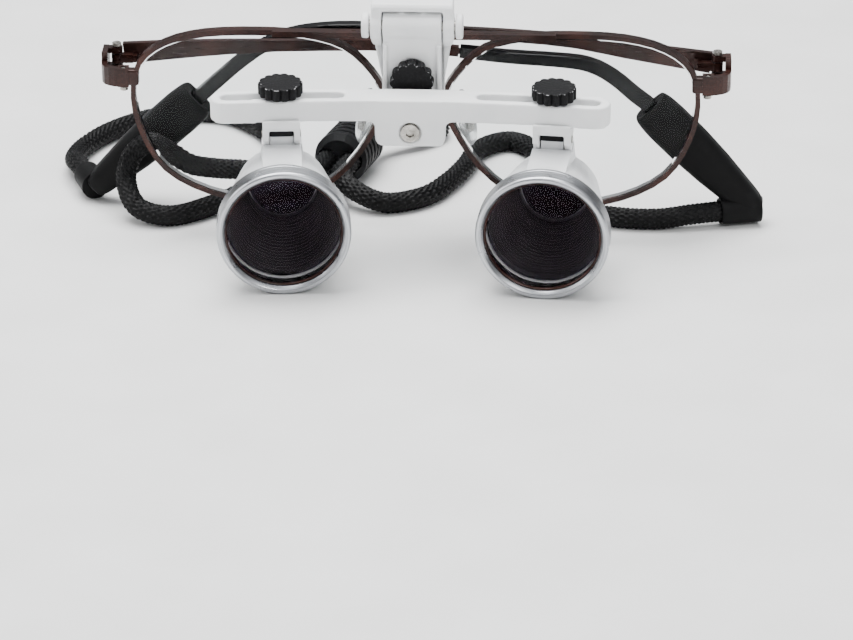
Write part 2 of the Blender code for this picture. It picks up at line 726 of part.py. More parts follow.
def bar_stadium(start, end, half, steps):
    """A round-ended outline that follows the crossbar's curve."""
    start, end = start + half, end - half
    outline = [bar_point(start + (end - start) * k / steps, half) for k in range(steps + 1)]
    for k in range(1, 8):
        angle = math.pi * k / 8
        outline.append(bar_point(end + half * math.sin(angle), half * math.cos(angle)))
    outline += [bar_point(end + (start - end) * k / steps, -half) for k in range(steps + 1)]
    for k in range(1, 8):
        angle = math.pi * k / 8
        outline.append(bar_point(start - half * math.sin(angle), -half * math.cos(angle)))
    return outline


bar_middle_z = (BAR_TOP + BAR_BOTTOM) / 2
crossbar = plate(
    "crossbar",
    [
        bar_stadium(-BAR_HALF_LENGTH, BAR_HALF_LENGTH, BAR_HALF_DEPTH, 16),
        bar_stadium(SLOT_INNER, SLOT_OUTER, SLOT_HALF, 6),
        bar_stadium(-SLOT_OUTER, -SLOT_INNER, SLOT_HALF, 6),
    ],
    BAR_TOP - BAR_BOTTOM, on_slide((0, 0, bar_middle_z)), "XY", WHITE_PLASTIC, "height_slide",
)
TAB_HALF = 7.65
TAB_OUTLINE = (
    arc((-TAB_HALF - 1.5, 27.8), 1.5, 90, 0, 4) + arc((-TAB_HALF + 2, 25.4), 2, 180, 270, 4)
    + arc((TAB_HALF - 2, 25.4), 2, 270, 360, 4) + arc((TAB_HALF + 1.5, 27.8), 1.5, 180, 90, 4)
    + [(TAB_HALF + 1.5, 30.2), (-TAB_HALF - 1.5, 30.2)]
)
tab_plate = plate(
    "crossbar_tab", [TAB_OUTLINE], 3.1, on_slide((0, -18.35, 0)), "XZ", on="height_slide", cutter=True
)
combine(crossbar, tab_plate, "UNION")
combine(crossbar, slide_rod("crossbar_screw_seat", (0, -19.9, SCREW_Z), 2.4, 2.0, "Y", sides=24),
        "DIFFERENCE")
combine(crossbar, slide_rod("crossbar_screw_hole", (0, -18, SCREW_Z), 1.45, 8, "Y"), "DIFFERENCE")
soften(crossbar, 0.3, 1, 50)

crossbar_screw = slide_rod("crossbar_screw", (0, -14.8, SCREW_Z), 1.1, 9.2, "Y", STEEL, False, 16)
combine(crossbar_screw, slide_rod("crossbar_screw_head", (0, -19.6, SCREW_Z), 2.05, 0.9, "Y", sides=24),
        "UNION")
combine(crossbar_screw, slide_rod("crossbar_screw_socket", (0, -20.0, SCREW_Z), 1.0, 0.9, "Y", sides=6),
        "DIFFERENCE")


# ---- The two loupes --------------------------------------------------------------------

TILT_HOLE = 1.05


def tilt_y(y):
    return y - TILT_PIN_Y


for side_name, side in SIDES.items():
    turn = -math.asin(LOUPE_X[side_name] / ARC_RADIUS)
    slide = "pd_slide_" + side_name
    pivot(slide, (0, BAR_CENTRE_Y, 0), "height_slide", turn)

    def along(y, z, x=0.0):
        """A place in this loupe's own turned frame, y as if the loupe stood in the middle."""
        return Vector((x, y - BAR_CENTRE_Y, z))

    hanger = box(
        "hanger_" + side_name, along(-20.9, 25.4, -4.05), along(-13.4, 29.0, 4.05), WHITE_PLASTIC, slide
    )
    combine(hanger, box(
        "hanger_lip_" + side_name, along(-21.2, 28.2, -4.05), along(-20.3, 30.0, 4.05), on=slide, cutter=True,
    ), "UNION")
    combine(hanger, rod(
        "hanger_legs_" + side_name, along(TILT_PIN_Y, TILT_PIN_Z), 2.6, 8.1, "X",
        on=slide, cutter=True, sides=24,
    ), "UNION")
    combine(hanger, box(
        "hanger_pocket_" + side_name, along(-22, 20, -2.7), along(-12, 27.6, 2.7), on=slide, cutter=True,
    ), "DIFFERENCE")
    combine(hanger, rod(
        "hanger_stud_bore_" + side_name, along(BAR_Y, 28.5), 1.6, 4, "Z", on=slide, cutter=True, sides=16,
    ), "DIFFERENCE")
    combine(hanger, rod(
        "hanger_pin_bore_" + side_name, along(TILT_PIN_Y, TILT_PIN_Z), TILT_HOLE, 20, "X", on=slide,
        cutter=True, sides=14,
    ), "DIFFERENCE")
    soften(hanger, 0.3, 1, 50)
    rod("tilt_pin_" + side_name, along(TILT_PIN_Y, TILT_PIN_Z), 0.8, 8.5, "X", STEEL, slide, sides=14)

    knob_place = PIVOTS[slide]["matrix"] @ along(BAR_Y, 0)
    knob_axis = "pd_knob_axis_" + side_name
    pivot(knob_axis, knob_place, slide, turn)
    knob("pd_knob_" + side_name, knob_axis, (0, 0, 36.05), "Z", KNOB_RADIUS + 0.05, 14, (0, 0, -0.7))
    rod("pd_stud_" + side_name, (0, 0, 32.2), 1.25, 8.3, "Z", STEEL, knob_axis, sides=16)

    pin_place = PIVOTS[slide]["matrix"] @ along(TILT_PIN_Y, TILT_PIN_Z)
    tilt = "tilt_axis_" + side_name
    pivot(tilt, pin_place, slide, turn)
    axis_z = AXIS_Z - TILT_PIN_Z
    barrel = turned("barrel_" + side_name, [
        (8.2, tilt_y(-12.0)), (8.9, tilt_y(-12.1)), (9.5, tilt_y(-12.6)), (10.0, tilt_y(-13.6)),
        (10.7, tilt_y(-17.0)), (13.45, tilt_y(-30.2)), (13.75, tilt_y(-30.8)), (13.75, tilt_y(-31.7)),
        (12.7, tilt_y(-31.7)), (8.2, tilt_y(-13.0)),
    ], (0, 0, axis_z), 40, "Y", SILVER, tilt)
    neck_outline = [(-4.2, 23.8 - TILT_PIN_Z), (-5.2, 14.0 - TILT_PIN_Z), (5.2, 14.0 - TILT_PIN_Z),
                    (4.2, 23.8 - TILT_PIN_Z)]
    neck = plate(
        "neck_" + side_name, [neck_outline], 17.0, (0, tilt_y(-22.6), 0), "XZ", on=tilt, cutter=True
    )
    combine(barrel, neck, "UNION")
    combine(barrel, rod("cradle_" + side_name, (0, 0, 0), 2.95, 20, "X", on=tilt, cutter=True, sides=24),
            "DIFFERENCE")
    combine(barrel, rod("tongue_" + side_name, (0, 0, 0), 1.9, 4.8, "X", on=tilt, cutter=True, sides=18),
            "UNION")
    combine(barrel, box(
        "tongue_web_" + side_name, (-2.39, -1.85, -5.5), (2.39, 1.85, 0), on=tilt, cutter=True,
    ), "UNION")
    combine(barrel, turned("barrel_clearance_" + side_name, [
        (8.19, tilt_y(-13.0)), (12.69, tilt_y(-31.7)), (12.8, tilt_y(-34)), (0.001, tilt_y(-34)),
        (0.001, tilt_y(-11)), (8.19, tilt_y(-11)),
    ], (0, 0, axis_z), 40, "Y", None, tilt, True), "DIFFERENCE")
    combine(barrel, rod(
        "tongue_bore_" + side_name, (0, 0, 0), TILT_HOLE, 8, "X", on=tilt, cutter=True, sides=14,
    ), "DIFFERENCE")

    turned("objective_ring_" + side_name, [
        (14.2, tilt_y(-32.0)), (RING_RADIUS, tilt_y(-32.3)), (RING_RADIUS, tilt_y(-36.5)),
        (14.0, tilt_y(-37.0)), (13.6, tilt_y(-37.0)), (12.7, tilt_y(-36.0)), (12.7, tilt_y(-32.0)),
    ], (0, 0, axis_z), 40, "Y", SILVER, tilt)
    turned("objective_lens_" + side_name, [
        (0, tilt_y(-32.5)), (7.0, tilt_y(-32.7)), (12.4, tilt_y(-33.2)), (12.4, tilt_y(-34.1)),
        (9.5, tilt_y(-34.7)), (5.0, tilt_y(-35.2)), (0, tilt_y(-35.4)),
    ], (0, 0, axis_z), 32, "Y", GLASS, tilt)
    steps = 8
    inner = []
    for k in range(steps):
        low = -31.4 + 17.2 * k / steps
        reach = 11.5 - 4.3 * k / steps
        inner += [(reach, tilt_y(low)), (reach - 0.55, tilt_y(low + 0.5)), (reach - 0.45, tilt_y(low + 1.0))]
    inner += [(7.1, tilt_y(-14.2)), (7.1, tilt_y(-12.4))]
    turned("baffle_tube_" + side_name, [
        (7.85, tilt_y(-12.4)), (7.85, tilt_y(-13.0)), (12.3, tilt_y(-31.4)),
    ] + inner, (0, 0, axis_z), 24, "Y", BLACK_PLASTIC, tilt)
    turned("eyepiece_lens_" + side_name, [
        (0, tilt_y(-12.2)), (6.8, tilt_y(-12.5)), (6.8, tilt_y(-13.4)), (0, tilt_y(-13.9)),
    ], (0, 0, axis_z), 24, "Y", GLASS, tilt)
    turned("eyepiece_ring_" + side_name, [
        (8.6, tilt_y(-10.8)), (8.9, tilt_y(-11.1)), (8.9, tilt_y(-11.7)), (6.8, tilt_y(-11.7)),
        (7.4, tilt_y(-10.8)),
    ], (0, 0, axis_z), 40, "Y", SILVER, tilt)


# ---- Neck strap, lying on the floor ----------------------------------------------------

pivot("floor", (0, 0, 0))
CORD_SPACING = 9.0


def strap(name, route):
    """A braided cord along a smooth path through the route's points, in floor coordinates."""
    fine = smooth_points(route, 12)
    places = [0.0]
    for first, second in zip(fine, fine[1:]):
        places.append(places[-1] + (second - first).length)
    count = round(places[-1] / CORD_SPACING)
    points = []
    at = 0
    for k in range(count + 1):
        wanted = places[-1] * k / count
        while at < len(fine) - 2 and places[at + 1] < wanted:
            at += 1
        share = (wanted - places[at]) / (places[at + 1] - places[at])
        points.append(fine[at].lerp(fine[at + 1], share))
    return wire(name, points, CORD_RADIUS, CORD, on="floor", resolution=2)


strap("strap_cord_left", [
    (-75.6, 29.1, 4.1), (-76.85, 31.8, 4.3), (-79.4, 37.2, 4.7), (-81.2, 45.0, 3.1), (-80.3, 54.5, 2.4),
    (-75.5, 65.5, 2.4), (-67.5, 75.0, 2.4), (-58.0, 80.5, 2.4), (-48.5, 79.0, 2.4), (-41.0, 71.5, 2.4),
    (-35.5, 61.0, 2.4), (-33.0, 49.0, 2.4), (-35.0, 37.0, 2.4), (-40.5, 26.0, 2.4), (-47.0, 17.0, 2.4),
    (-55.0, 10.5, 2.4), (-62.5, 11.0, 4.0), (-65.6, 15.5, 8.5), (-64.3, 17.4, 14.2), (-60.0, 17.6, 17.3),
    (-55.8, 18.0, 15.0), (-51.5, 21.0, 11.0), (-46.0, 24.8, 8.7), (-39.5, 26.3, 7.8), (-32.5, 25.2, 6.9),
    (-27.5, 26.4, 6.4), (-24.2, 29.8, 6.4), (-22.9, 33.2, 6.5), (-21.0, 40.5, 6.5),
])
strap("strap_cord_right", [
    (71.05, 16.6, 3.6), (68.15, 15.85, 3.5), (62.0, 14.2, 3.3), (54.5, 13.2, 2.5), (46.0, 13.8, 2.4),
    (38.0, 17.0, 2.4), (32.0, 24.0, 2.4), (29.3, 34.0, 2.4), (28.0, 45.0, 2.4), (26.5, 56.0, 2.4),
    (20.0, 63.5, 2.4), (12.8, 57.5, 2.4), (10.0, 46.0, 2.4), (6.0, 34.0, 2.4), (0.8, 24.8, 2.4),
    (-7.5, 20.4, 2.6), (-14.8, 23.4, 4.5), (-17.8, 28.6, 6.1), (-17.3, 32.2, 6.5), (-15.5, 39.0, 6.5),
])
strap("strap_tail", [
    (-18.5, 50.15, 6.5), (-16.5, 57.9, 6.2), (-15.8, 64.0, 4.2), (-16.8, 71.0, 2.5), (-13.5, 78.0, 2.4),
    (-6.0, 80.5, 2.4), (1.2, 77.0, 2.4), (2.8, 70.0, 2.4), (-1.2, 64.3, 3.2), (-6.8, 60.4, 5.0),
    (-10.7, 56.6, 6.3), (-13.0, 48.7, 6.5),
])

SLIDER_PLACE = (-17.0, 44.6, 6.5)
SLIDER_TURN = -math.atan2(0.25, 0.968)
SLIDER_HALF = 7.8
pivot("slider_place", SLIDER_PLACE, "floor", SLIDER_TURN)
slider_profile = [(4.9, SLIDER_HALF), (5.7, SLIDER_HALF - 0.6)]
for k in range(6):
    low = SLIDER_HALF - 1.5 - 2.3 * k
    slider_profile += [(6.3, low), (6.3, low - 1.2), (5.9, low - 1.45)]
slider_profile = slider_profile[:-1] + [(4.9, -SLIDER_HALF)]
slider_profile = [(0, SLIDER_HALF)] + slider_profile + [(0, -SLIDER_HALF)]
cord_slider = turned("cord_slider", slider_profile, (0, 0, 0), 24, "Y", BLACK_PLASTIC, "slider_place")
for bore_side in (-1, 1):
    combine(cord_slider, rod(
        f"slider_bore_{bore_side + 1}", (bore_side * 2.85, 0, 0), CORD_RADIUS + 0.33, 30, "Y",
        on="slider_place", cutter=True, sides=16,
    ), "DIFFERENCE")
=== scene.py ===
import math

import bmesh
import bpy
import numpy as np
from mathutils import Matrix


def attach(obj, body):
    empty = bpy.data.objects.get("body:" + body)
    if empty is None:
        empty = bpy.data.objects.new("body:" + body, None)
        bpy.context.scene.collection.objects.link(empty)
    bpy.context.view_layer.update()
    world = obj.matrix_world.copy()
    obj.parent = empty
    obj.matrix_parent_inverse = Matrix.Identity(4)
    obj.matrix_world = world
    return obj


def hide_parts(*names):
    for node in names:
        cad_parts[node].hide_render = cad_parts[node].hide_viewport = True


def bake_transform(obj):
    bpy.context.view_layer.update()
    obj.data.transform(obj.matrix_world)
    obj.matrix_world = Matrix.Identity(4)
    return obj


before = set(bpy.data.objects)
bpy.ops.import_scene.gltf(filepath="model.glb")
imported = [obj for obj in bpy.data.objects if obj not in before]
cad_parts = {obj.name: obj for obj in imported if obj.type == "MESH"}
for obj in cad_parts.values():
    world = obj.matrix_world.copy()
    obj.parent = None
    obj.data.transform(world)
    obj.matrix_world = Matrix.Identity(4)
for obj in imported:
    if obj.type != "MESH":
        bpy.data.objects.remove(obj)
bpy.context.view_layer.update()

# ---- Camera ------------------------------------------------------------------------------
# A long lens set low over the table, a little to the wearer's left of the folded loupes,
# so that both barrels are seen nearly end on with the strap lying behind them.
LOOK_AT = np.array((0.0, 0.00796, 0.00695))
CAMERA_REACH = 0.87
CAMERA_TURN = math.radians(2.75)
CAMERA_RISE = math.radians(20.8)

camera_data = bpy.data.cameras.new("camera")
camera_data.sensor_width = 36.0
camera_data.lens = 164.3
camera_data.clip_start = 0.05
camera_data.clip_end = 20.0
camera = bpy.data.objects.new("camera", camera_data)
bpy.context.scene.collection.objects.link(camera)
line_of_sight = np.array((
    math.sin(CAMERA_TURN) * math.cos(CAMERA_RISE),
    -math.cos(CAMERA_TURN) * math.cos(CAMERA_RISE),
    math.sin(CAMERA_RISE),
))
camera.location = LOOK_AT + CAMERA_REACH * line_of_sight
camera.rotation_euler = (math.radians(67.5), 0.0, CAMERA_TURN - math.radians(0.18))
bpy.context.scene.camera = camera

# ---- Neck strap ---------------------------------------------------------------------------
# A round braided nylon cord of 4.6 mm, one length from sleeve to sleeve. It runs through both
# bores of a moulded slider and makes a loop behind it, and the rest lies slack on the table.
CORD_RADIUS = 0.0023
BRAID_CELLS = 14
BRAID_PITCH = 0.0020
BRAID_RISE = 0.00052
CORD_STEP = 0.00034
CORD_SIDES = 48


def metres(rows):
    """Millimetres to metres."""
    return np.array(rows, float) / 1000.0


def smooth_route(points, steps=24):
    """A Catmull-Rom curve: each span is the cubic whose end slopes are half the step between
    the neighbours on either side, and the end points count as their own neighbours."""
    before = np.concatenate((points[:1], points[:-2]))[:, None]
    start = points[:-1][:, None]
    end = points[1:][:, None]
    after = np.concatenate((points[2:], points[-1:]))[:, None]
    t = (np.arange(steps) / steps)[None, :, None]
    curve = 0.5 * (
        2 * start + (end - before) * t + (2 * before - 5 * start + 4 * end - after) * t**2
        + (3 * start - before - 3 * end + after) * t**3
    )
    return np.concatenate((curve.reshape(-1, 3), points[-1:]))


def even_steps(curve, step):
    """The same curve at equal distances, and each point's distance from its start."""
    gaps = np.linalg.norm(np.diff(curve, axis=0), axis=1)
    run = np.concatenate(((0.0,), np.cumsum(gaps)))
    along = np.linspace(0.0, run[-1], max(2, round(run[-1] / step)) + 1)
    return np.stack([np.interp(along, run, curve[:, k]) for k in range(3)], axis=1), along


def skin(name, points, loop=False, uv=None, sharp=35.0):
    """A skin over a grid of places: each row is a closed ring, row i joins row i + 1, and with
    loop the last row joins the first. Equal places become one, so a ring of no size is a pole."""
    rows, columns = points.shape[:2]
    corner = np.arange(rows * columns).reshape(rows, columns)
    row = np.arange(rows if loop else rows - 1)
    column = np.arange(columns)
    low, high = row[:, None], (row[:, None] + 1) % rows
    here, ahead = column[None, :], (column[None, :] + 1) % columns
    faces = np.stack((
        corner[low, here], corner[low, ahead], corner[high, ahead], corner[high, here],
    ), axis=-1).reshape(-1, 4)
    mesh = bpy.data.meshes.new(name)
    mesh.from_pydata(points.reshape(-1, 3), [], faces)
    if uv is not None:
        first, last = uv[0][row], uv[0][(row + 1) % rows]
        left, right = column / columns, (column + 1) / columns
        corners = np.empty((len(row), columns, 4, 2))
        corners[..., 0, 0] = corners[..., 1, 0] = first[:, None]
        corners[..., 2, 0] = corners[..., 3, 0] = last[:, None]
        corners[..., 0, 1] = corners[..., 3, 1] = left[None, :] * uv[1]
        corners[..., 1, 1] = corners[..., 2, 1] = right[None, :] * uv[1]
        mesh.uv_layers.new(name="UVMap").data.foreach_set("uv", corners.ravel())
    work = bmesh.new()
    work.from_mesh(mesh)
    bmesh.ops.remove_doubles(work, verts=work.verts, dist=1e-7)
    bmesh.ops.recalc_face_normals(work, faces=work.faces)
    work.to_mesh(mesh)
    work.free()
    mesh.shade_smooth()
    mesh.set_sharp_from_angle(angle=math.radians(sharp))
    thing = bpy.data.objects.new(name, mesh)
    bpy.context.scene.collection.objects.link(thing)
    return thing


def start_finish(name, colour, roughness, metallic=0.0):
    """A new material, its node tree, its shader, and the object's own coordinates."""
    material = bpy.data.materials.new(name)
    material.use_nodes = True
    tree = material.node_tree
    shader = tree.nodes["Principled BSDF"]
    shader.inputs["Base Color"].default_value = (*colour, 1.0)
    shader.inputs["Roughness"].default_value = roughness
    shader.inputs["Metallic"].default_value = metallic
    return material, tree, shader, tree.nodes.new("ShaderNodeTexCoord")


def grain(tree, where, scale, detail=3.0, stretch=(1.0, 1.0, 1.0), turn=(0.0, 0.0, 0.0)):
    """Fractal noise over a place, with its cells stretched along one axis where the work was."""
    mapping = tree.nodes.new("ShaderNodeMapping")
    mapping.inputs["Scale"].default_value = stretch
    mapping.inputs["Rotation"].default_value = turn
    tree.links.new(where, mapping.inputs["Vector"])
    noise = tree.nodes.new("ShaderNodeTexNoise")
    noise.inputs["Scale"].default_value = scale
    noise.inputs["Detail"].default_value = detail
    tree.links.new(mapping.outputs["Vector"], noise.inputs["Vector"])
    return noise.outputs["Fac"]


def spread(tree, value, low, high, start=0.3, end=0.7):
    """A value between two numbers turned into one between two others."""
    node = tree.nodes.new("ShaderNodeMapRange")
    node.inputs["From Min"].default_value = start
    node.inputs["From Max"].default_value = end
    node.inputs["To Min"].default_value = low
    node.inputs["To Max"].default_value = high
    tree.links.new(value, node.inputs["Value"])
    return node.outputs["Result"]


def shades(tree, value, *stops):
    """A value turned into colour: each stop is a place from 0 to 1 and its colour."""
    node = tree.nodes.new("ShaderNodeValToRGB")
    ramp = node.color_ramp.elements
    while len(ramp) < len(stops):
        ramp.new(0.5)
    for element, (place, colour) in zip(ramp, stops):
        element.position = place
        element.color = (*colour, 1.0)
    tree.links.new(value, node.inputs["Fac"])
    return node.outputs["Color"]


def relief(tree, shader, height, depth, strength=1.0):
    """Bumps of a real depth in metres on the shader's normal, laid over any that it has."""
    node = tree.nodes.new("ShaderNodeBump")
    node.inputs["Distance"].default_value = depth
    node.inputs["Strength"].default_value = strength
    tree.links.new(height, node.inputs["Height"])
    if shader.inputs["Normal"].is_linked:
        tree.links.new(shader.inputs["Normal"].links[0].from_socket, node.inputs["Normal"])
    tree.links.new(node.outputs["Normal"], shader.inputs["Normal"])


def sum_of(tree, operation, first, second):
    """Two values, or a value and a number, through one Math node."""
    node = tree.nodes.new("ShaderNodeMath")
    node.operation = operation
    for socket, value in zip(node.inputs, (first, second)):
        if isinstance(value, (int, float)):
            socket.default_value = value
        else:
            tree.links.new(value, socket)
    return node.outputs["Value"]


def braided_nylon():
    """Black yarns crossing round the cord: hollows between the crossings darkened as painted shade,
    fine filaments along each yarn, and a soft fibre sheen."""
    material, tree, shader, coords = start_finish("braided_nylon", (0.006, 0.006, 0.007), 0.5)
    split = tree.nodes.new("ShaderNodeSeparateXYZ")
    tree.links.new(coords.outputs["UV"], split.inputs["Vector"])
    along, around = split.outputs["X"], split.outputs["Y"]
    first = sum_of(tree, "SINE", sum_of(tree, "MULTIPLY", sum_of(tree, "ADD", along, around), 31.0), 0)
    second = sum_of(tree, "SINE", sum_of(tree, "MULTIPLY", sum_of(tree, "SUBTRACT", along, around), 31.0), 0)
    fine = sum_of(tree, "MULTIPLY", first, second)
    fuzz = grain(tree, coords.outputs["Object"], 2600.0, 4.0)
    patches = grain(tree, coords.outputs["Object"], 160.0, 3.0)
    # Painted shade: the colour darkens where the braid pattern bumps the surface down, in the hollows between
    # the crossings.
    colour = shades(
        tree, sum_of(tree, "ADD", sum_of(tree, "MULTIPLY", fine, 0.12), fuzz),
        (0.30, (0.0008, 0.0008, 0.0009)), (0.55, (0.0022, 0.0022, 0.0025)), (0.80, (0.009, 0.009, 0.010)),
    )
    tree.links.new(colour, shader.inputs["Base Color"])
    tree.links.new(spread(tree, patches, 0.38, 0.6), shader.inputs["Roughness"])
    relief(tree, shader, fine, 0.00004, 0.8)
    relief(tree, shader, fuzz, 0.00006, 0.7)
    shader.inputs["Specular IOR Level"].default_value = 0.17
    return material


def braid(name, centre, along, material):
    """A round cord along centre. Two sets of yarns wind round it in opposite ways, and the
    radius swells by BRAID_RISE where cos(a) cos(b) is large, a and b being the two windings."""
    tangent = np.gradient(centre, axis=0)
    tangent /= np.linalg.norm(tangent, axis=1)[:, None]
    aside = np.cross(tangent, (0.0, 0.0, 1.0))
    aside /= np.linalg.norm(aside, axis=1)[:, None]
    upward = np.cross(aside, tangent)
    angle = np.arange(CORD_SIDES) / CORD_SIDES * math.tau
    wind = angle[None, :] * BRAID_CELLS / 2
    run = along[:, None] * math.pi / BRAID_PITCH
    crossing = np.abs(np.cos(wind + run) * np.cos(wind - run)) ** 0.6
    reach = CORD_RADIUS - BRAID_RISE + BRAID_RISE * 1.3 * crossing
    ring = centre[:, None] + reach[..., None] * (
        np.cos(angle)[None, :, None] * aside[:, None] + np.sin(angle)[None, :, None] * upward[:, None]
    )
    ends = [np.repeat(centre[k][None, None], CORD_SIDES, axis=1) for k in (0, -1)]
    distance = np.concatenate((along[:1], along, along[-1:]))
    piece = skin(
        name, np.concatenate((ends[0], ring, ends[1])), uv=(distance / (BRAID_CELLS * BRAID_PITCH), 1.0),
        sharp=80.0,
    )
    piece.data.materials.append(material)
    return piece


LEFT_ROUTE = metres([
    (-75.6, 29.1, 4.1), (-76.85, 31.8, 4.3), (-79.4, 37.2, 4.7), (-81.2, 45.0, 3.1), (-80.3, 54.5, 2.4),
    (-75.5, 65.5, 2.4), (-67.5, 75.0, 2.4), (-58.0, 80.5, 2.4), (-48.5, 79.0, 2.4), (-41.0, 71.5, 2.4),
    (-35.5, 61.0, 2.4), (-33.0, 49.0, 2.4), (-35.0, 37.0, 2.4), (-40.5, 26.0, 2.4), (-47.0, 17.0, 2.4),
    (-55.0, 10.5, 2.4), (-62.5, 11.0, 4.0), (-65.6, 15.5, 8.5), (-64.3, 17.4, 14.2), (-60.0, 17.6, 17.3),
    (-55.8, 18.0, 15.0), (-51.5, 21.0, 11.0), (-46.0, 24.8, 8.7), (-39.5, 26.3, 7.8), (-32.5, 25.2, 6.9),
    (-27.5, 26.4, 6.4), (-24.2, 29.8, 6.4), (-22.9, 33.2, 6.5), (-21.0, 40.5, 6.5),
])
RIGHT_ROUTE = metres([
    (71.05, 16.6, 3.6), (68.15, 15.85, 3.5), (62.0, 14.2, 3.3), (54.5, 13.2, 2.5), (46.0, 13.8, 2.4),
    (38.0, 17.0, 2.4), (32.0, 24.0, 2.4), (29.3, 34.0, 2.4), (28.0, 45.0, 2.4), (26.5, 56.0, 2.4),
    (20.0, 63.5, 2.4), (12.8, 57.5, 2.4), (10.0, 46.0, 2.4), (6.0, 34.0, 2.4), (0.8, 24.8, 2.4),
    (-7.5, 20.4, 2.6), (-14.8, 23.4, 4.5), (-17.8, 28.6, 6.1), (-17.3, 32.2, 6.5), (-15.5, 39.0, 6.5),
])
LOOP_ROUTE = metres([
    (-18.5, 50.15, 6.5), (-16.5, 57.9, 6.2), (-15.8, 64.0, 4.2), (-16.8, 71.0, 2.5), (-13.5, 78.0, 2.4),
    (-6.0, 80.5, 2.4), (1.2, 77.0, 2.4), (2.8, 70.0, 2.4), (-1.2, 64.3, 3.2), (-6.8, 60.4, 5.0),
    (-10.7, 56.6, 6.3), (-13.0, 48.7, 6.5),
])
cord_cloth = braided_nylon()


def lay_cord(name, route, node, split=None):
    """Lays one strand. With split, its first stretch, up to the route's point number split, which
    the temple's sleeve grips, is a piece of its own that no body carries, and the rest, attached to the
    front, stays lying."""
    centre, along = even_steps(smooth_route(route), CORD_STEP)
    if split is None:
        cut = 0
    else:
        cut = int(np.argmin(np.linalg.norm(centre - route[split], axis=1)))
        root = braid(name + "_root", centre[:cut + 1], along[:cut + 1], cord_cloth)
        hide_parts(node)
        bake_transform(root)
    lying = braid(name, centre[cut:], along[cut:], cord_cloth)
    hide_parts(node)
    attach(lying, "front")


lay_cord("strap_cord_left_braid", LEFT_ROUTE, "strap_cord_left", split=7)
lay_cord("strap_cord_right_braid", RIGHT_ROUTE, "strap_cord_right", split=8)
lay_cord("strap_tail_braid", LOOP_ROUTE, "strap_tail")

# ---- Cord slider --------------------------------------------------------------------------
# A moulded black slider with two bores. Its grip ribs are turned into the mould, and it has
# the same fine spark-eroded skin as the finger knobs.


def dress(names, material):
    """Gives CAD nodes their finish."""
    for name in names:
        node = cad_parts[name]
        node.data.materials.clear()
        node.data.materials.append(material)


def black_moulding():
    """Matt black nylon: a spark-eroded skin, slight grey bloom, and rubbed lighter patches."""
    material, tree, shader, coords = start_finish("black_moulding", (0.02, 0.02, 0.022), 0.55)
    skin_grain = grain(tree, coords.outputs["Object"], 3800.0, 3.0)
    bloom = grain(tree, coords.outputs["Object"], 210.0, 4.0)
    tree.links.new(
        shades(
            tree, bloom,
            (0.35, (0.003, 0.003, 0.0034)), (0.62, (0.007, 0.007, 0.008)), (0.8, (0.016, 0.016, 0.017)),
        ),
        shader.inputs["Base Color"],
    )
    tree.links.new(spread(tree, bloom, 0.4, 0.6), shader.inputs["Roughness"])
    relief(tree, shader, skin_grain, 0.00005, 0.7)
    shader.inputs["Specular IOR Level"].default_value = 0.12
    return material


black_plastic = black_moulding()
dress(["cord_slider"], black_plastic)

# ---- Spectacle front, endpieces and screws ------------------------------------------------
# Rims, brow bar and bridge are one soldered wire front, with the endpiece lugs screwed on to
# close the rims. All of it is lacquered a dark reddish brown over bright metal.


def brown_lacquer():
    """Reddish-brown lacquer with metal flake, orange peel, and fine rubbed scratches."""
    material, tree, shader, coords = start_finish("brown_lacquer", (0.035, 0.012, 0.009), 0.34, 0.5)
    place = coords.outputs["Object"]
    flake = grain(tree, place, 5200.0, 2.0)
    cloud = grain(tree, place, 120.0, 4.0)
    scratch = grain(tree, place, 900.0, 3.0, stretch=(0.15, 1.6, 1.6))
    tint = sum_of(tree, "ADD", sum_of(tree, "MULTIPLY", flake, 0.45), sum_of(tree, "MULTIPLY", cloud, 0.55))
    tree.links.new(
        shades(
            tree, tint,
            (0.36, (0.009, 0.0028, 0.002)), (0.5, (0.021, 0.0064, 0.0044)), (0.66, (0.058, 0.018, 0.012)),
        ),
        shader.inputs["Base Color"],
    )
    tree.links.new(spread(tree, scratch, 0.24, 0.5), shader.inputs["Roughness"])
    relief(tree, shader, flake, 0.00002, 0.5)
    relief(tree, shader, cloud, 0.0001, 0.25)
    shader.inputs["Coat Weight"].default_value = 0.15
    shader.inputs["Coat Roughness"].default_value = 0.12
    shader.inputs["Specular IOR Level"].default_value = 0.35
    return material


def turned_steel():
    """Bright screw steel with fine turning marks and handling haze."""
    material, tree, shader, coords = start_finish("turned_steel", (0.62, 0.6, 0.57), 0.28, 1.0)
    place = coords.outputs["Object"]
    marks = grain(tree, place, 3000.0, 2.0, stretch=(1.0, 1.0, 4.0))
    haze = grain(tree, place, 500.0, 3.0)
    tree.links.new(
        shades(tree, haze, (0.3, (0.20, 0.19, 0.17)), (0.6, (0.42, 0.40, 0.37)), (0.8, (0.56, 0.55, 0.52))),
        shader.inputs["Base Color"],
    )
    tree.links.new(spread(tree, marks, 0.18, 0.42), shader.inputs["Roughness"])
    relief(tree, shader, marks, 0.00003, 0.5)
    return material


brown_metal = brown_lacquer()
screw_steel = turned_steel()
dress(
    ["front_frame", "endpiece_left", "endpiece_right", "pad_arm_left", "pad_arm_right"],
    brown_metal,
)
dress(
    ["rim_screw_left", "rim_screw_right", "hinge_screw_left", "hinge_screw_right"],
    screw_steel,
)

# ---- Lenses and nose pads -----------------------------------------------------------------
# Flat demonstration lenses of clear polycarbonate, edged to the rim, and clear soft silicone
# pads pushed on to the pad arms.


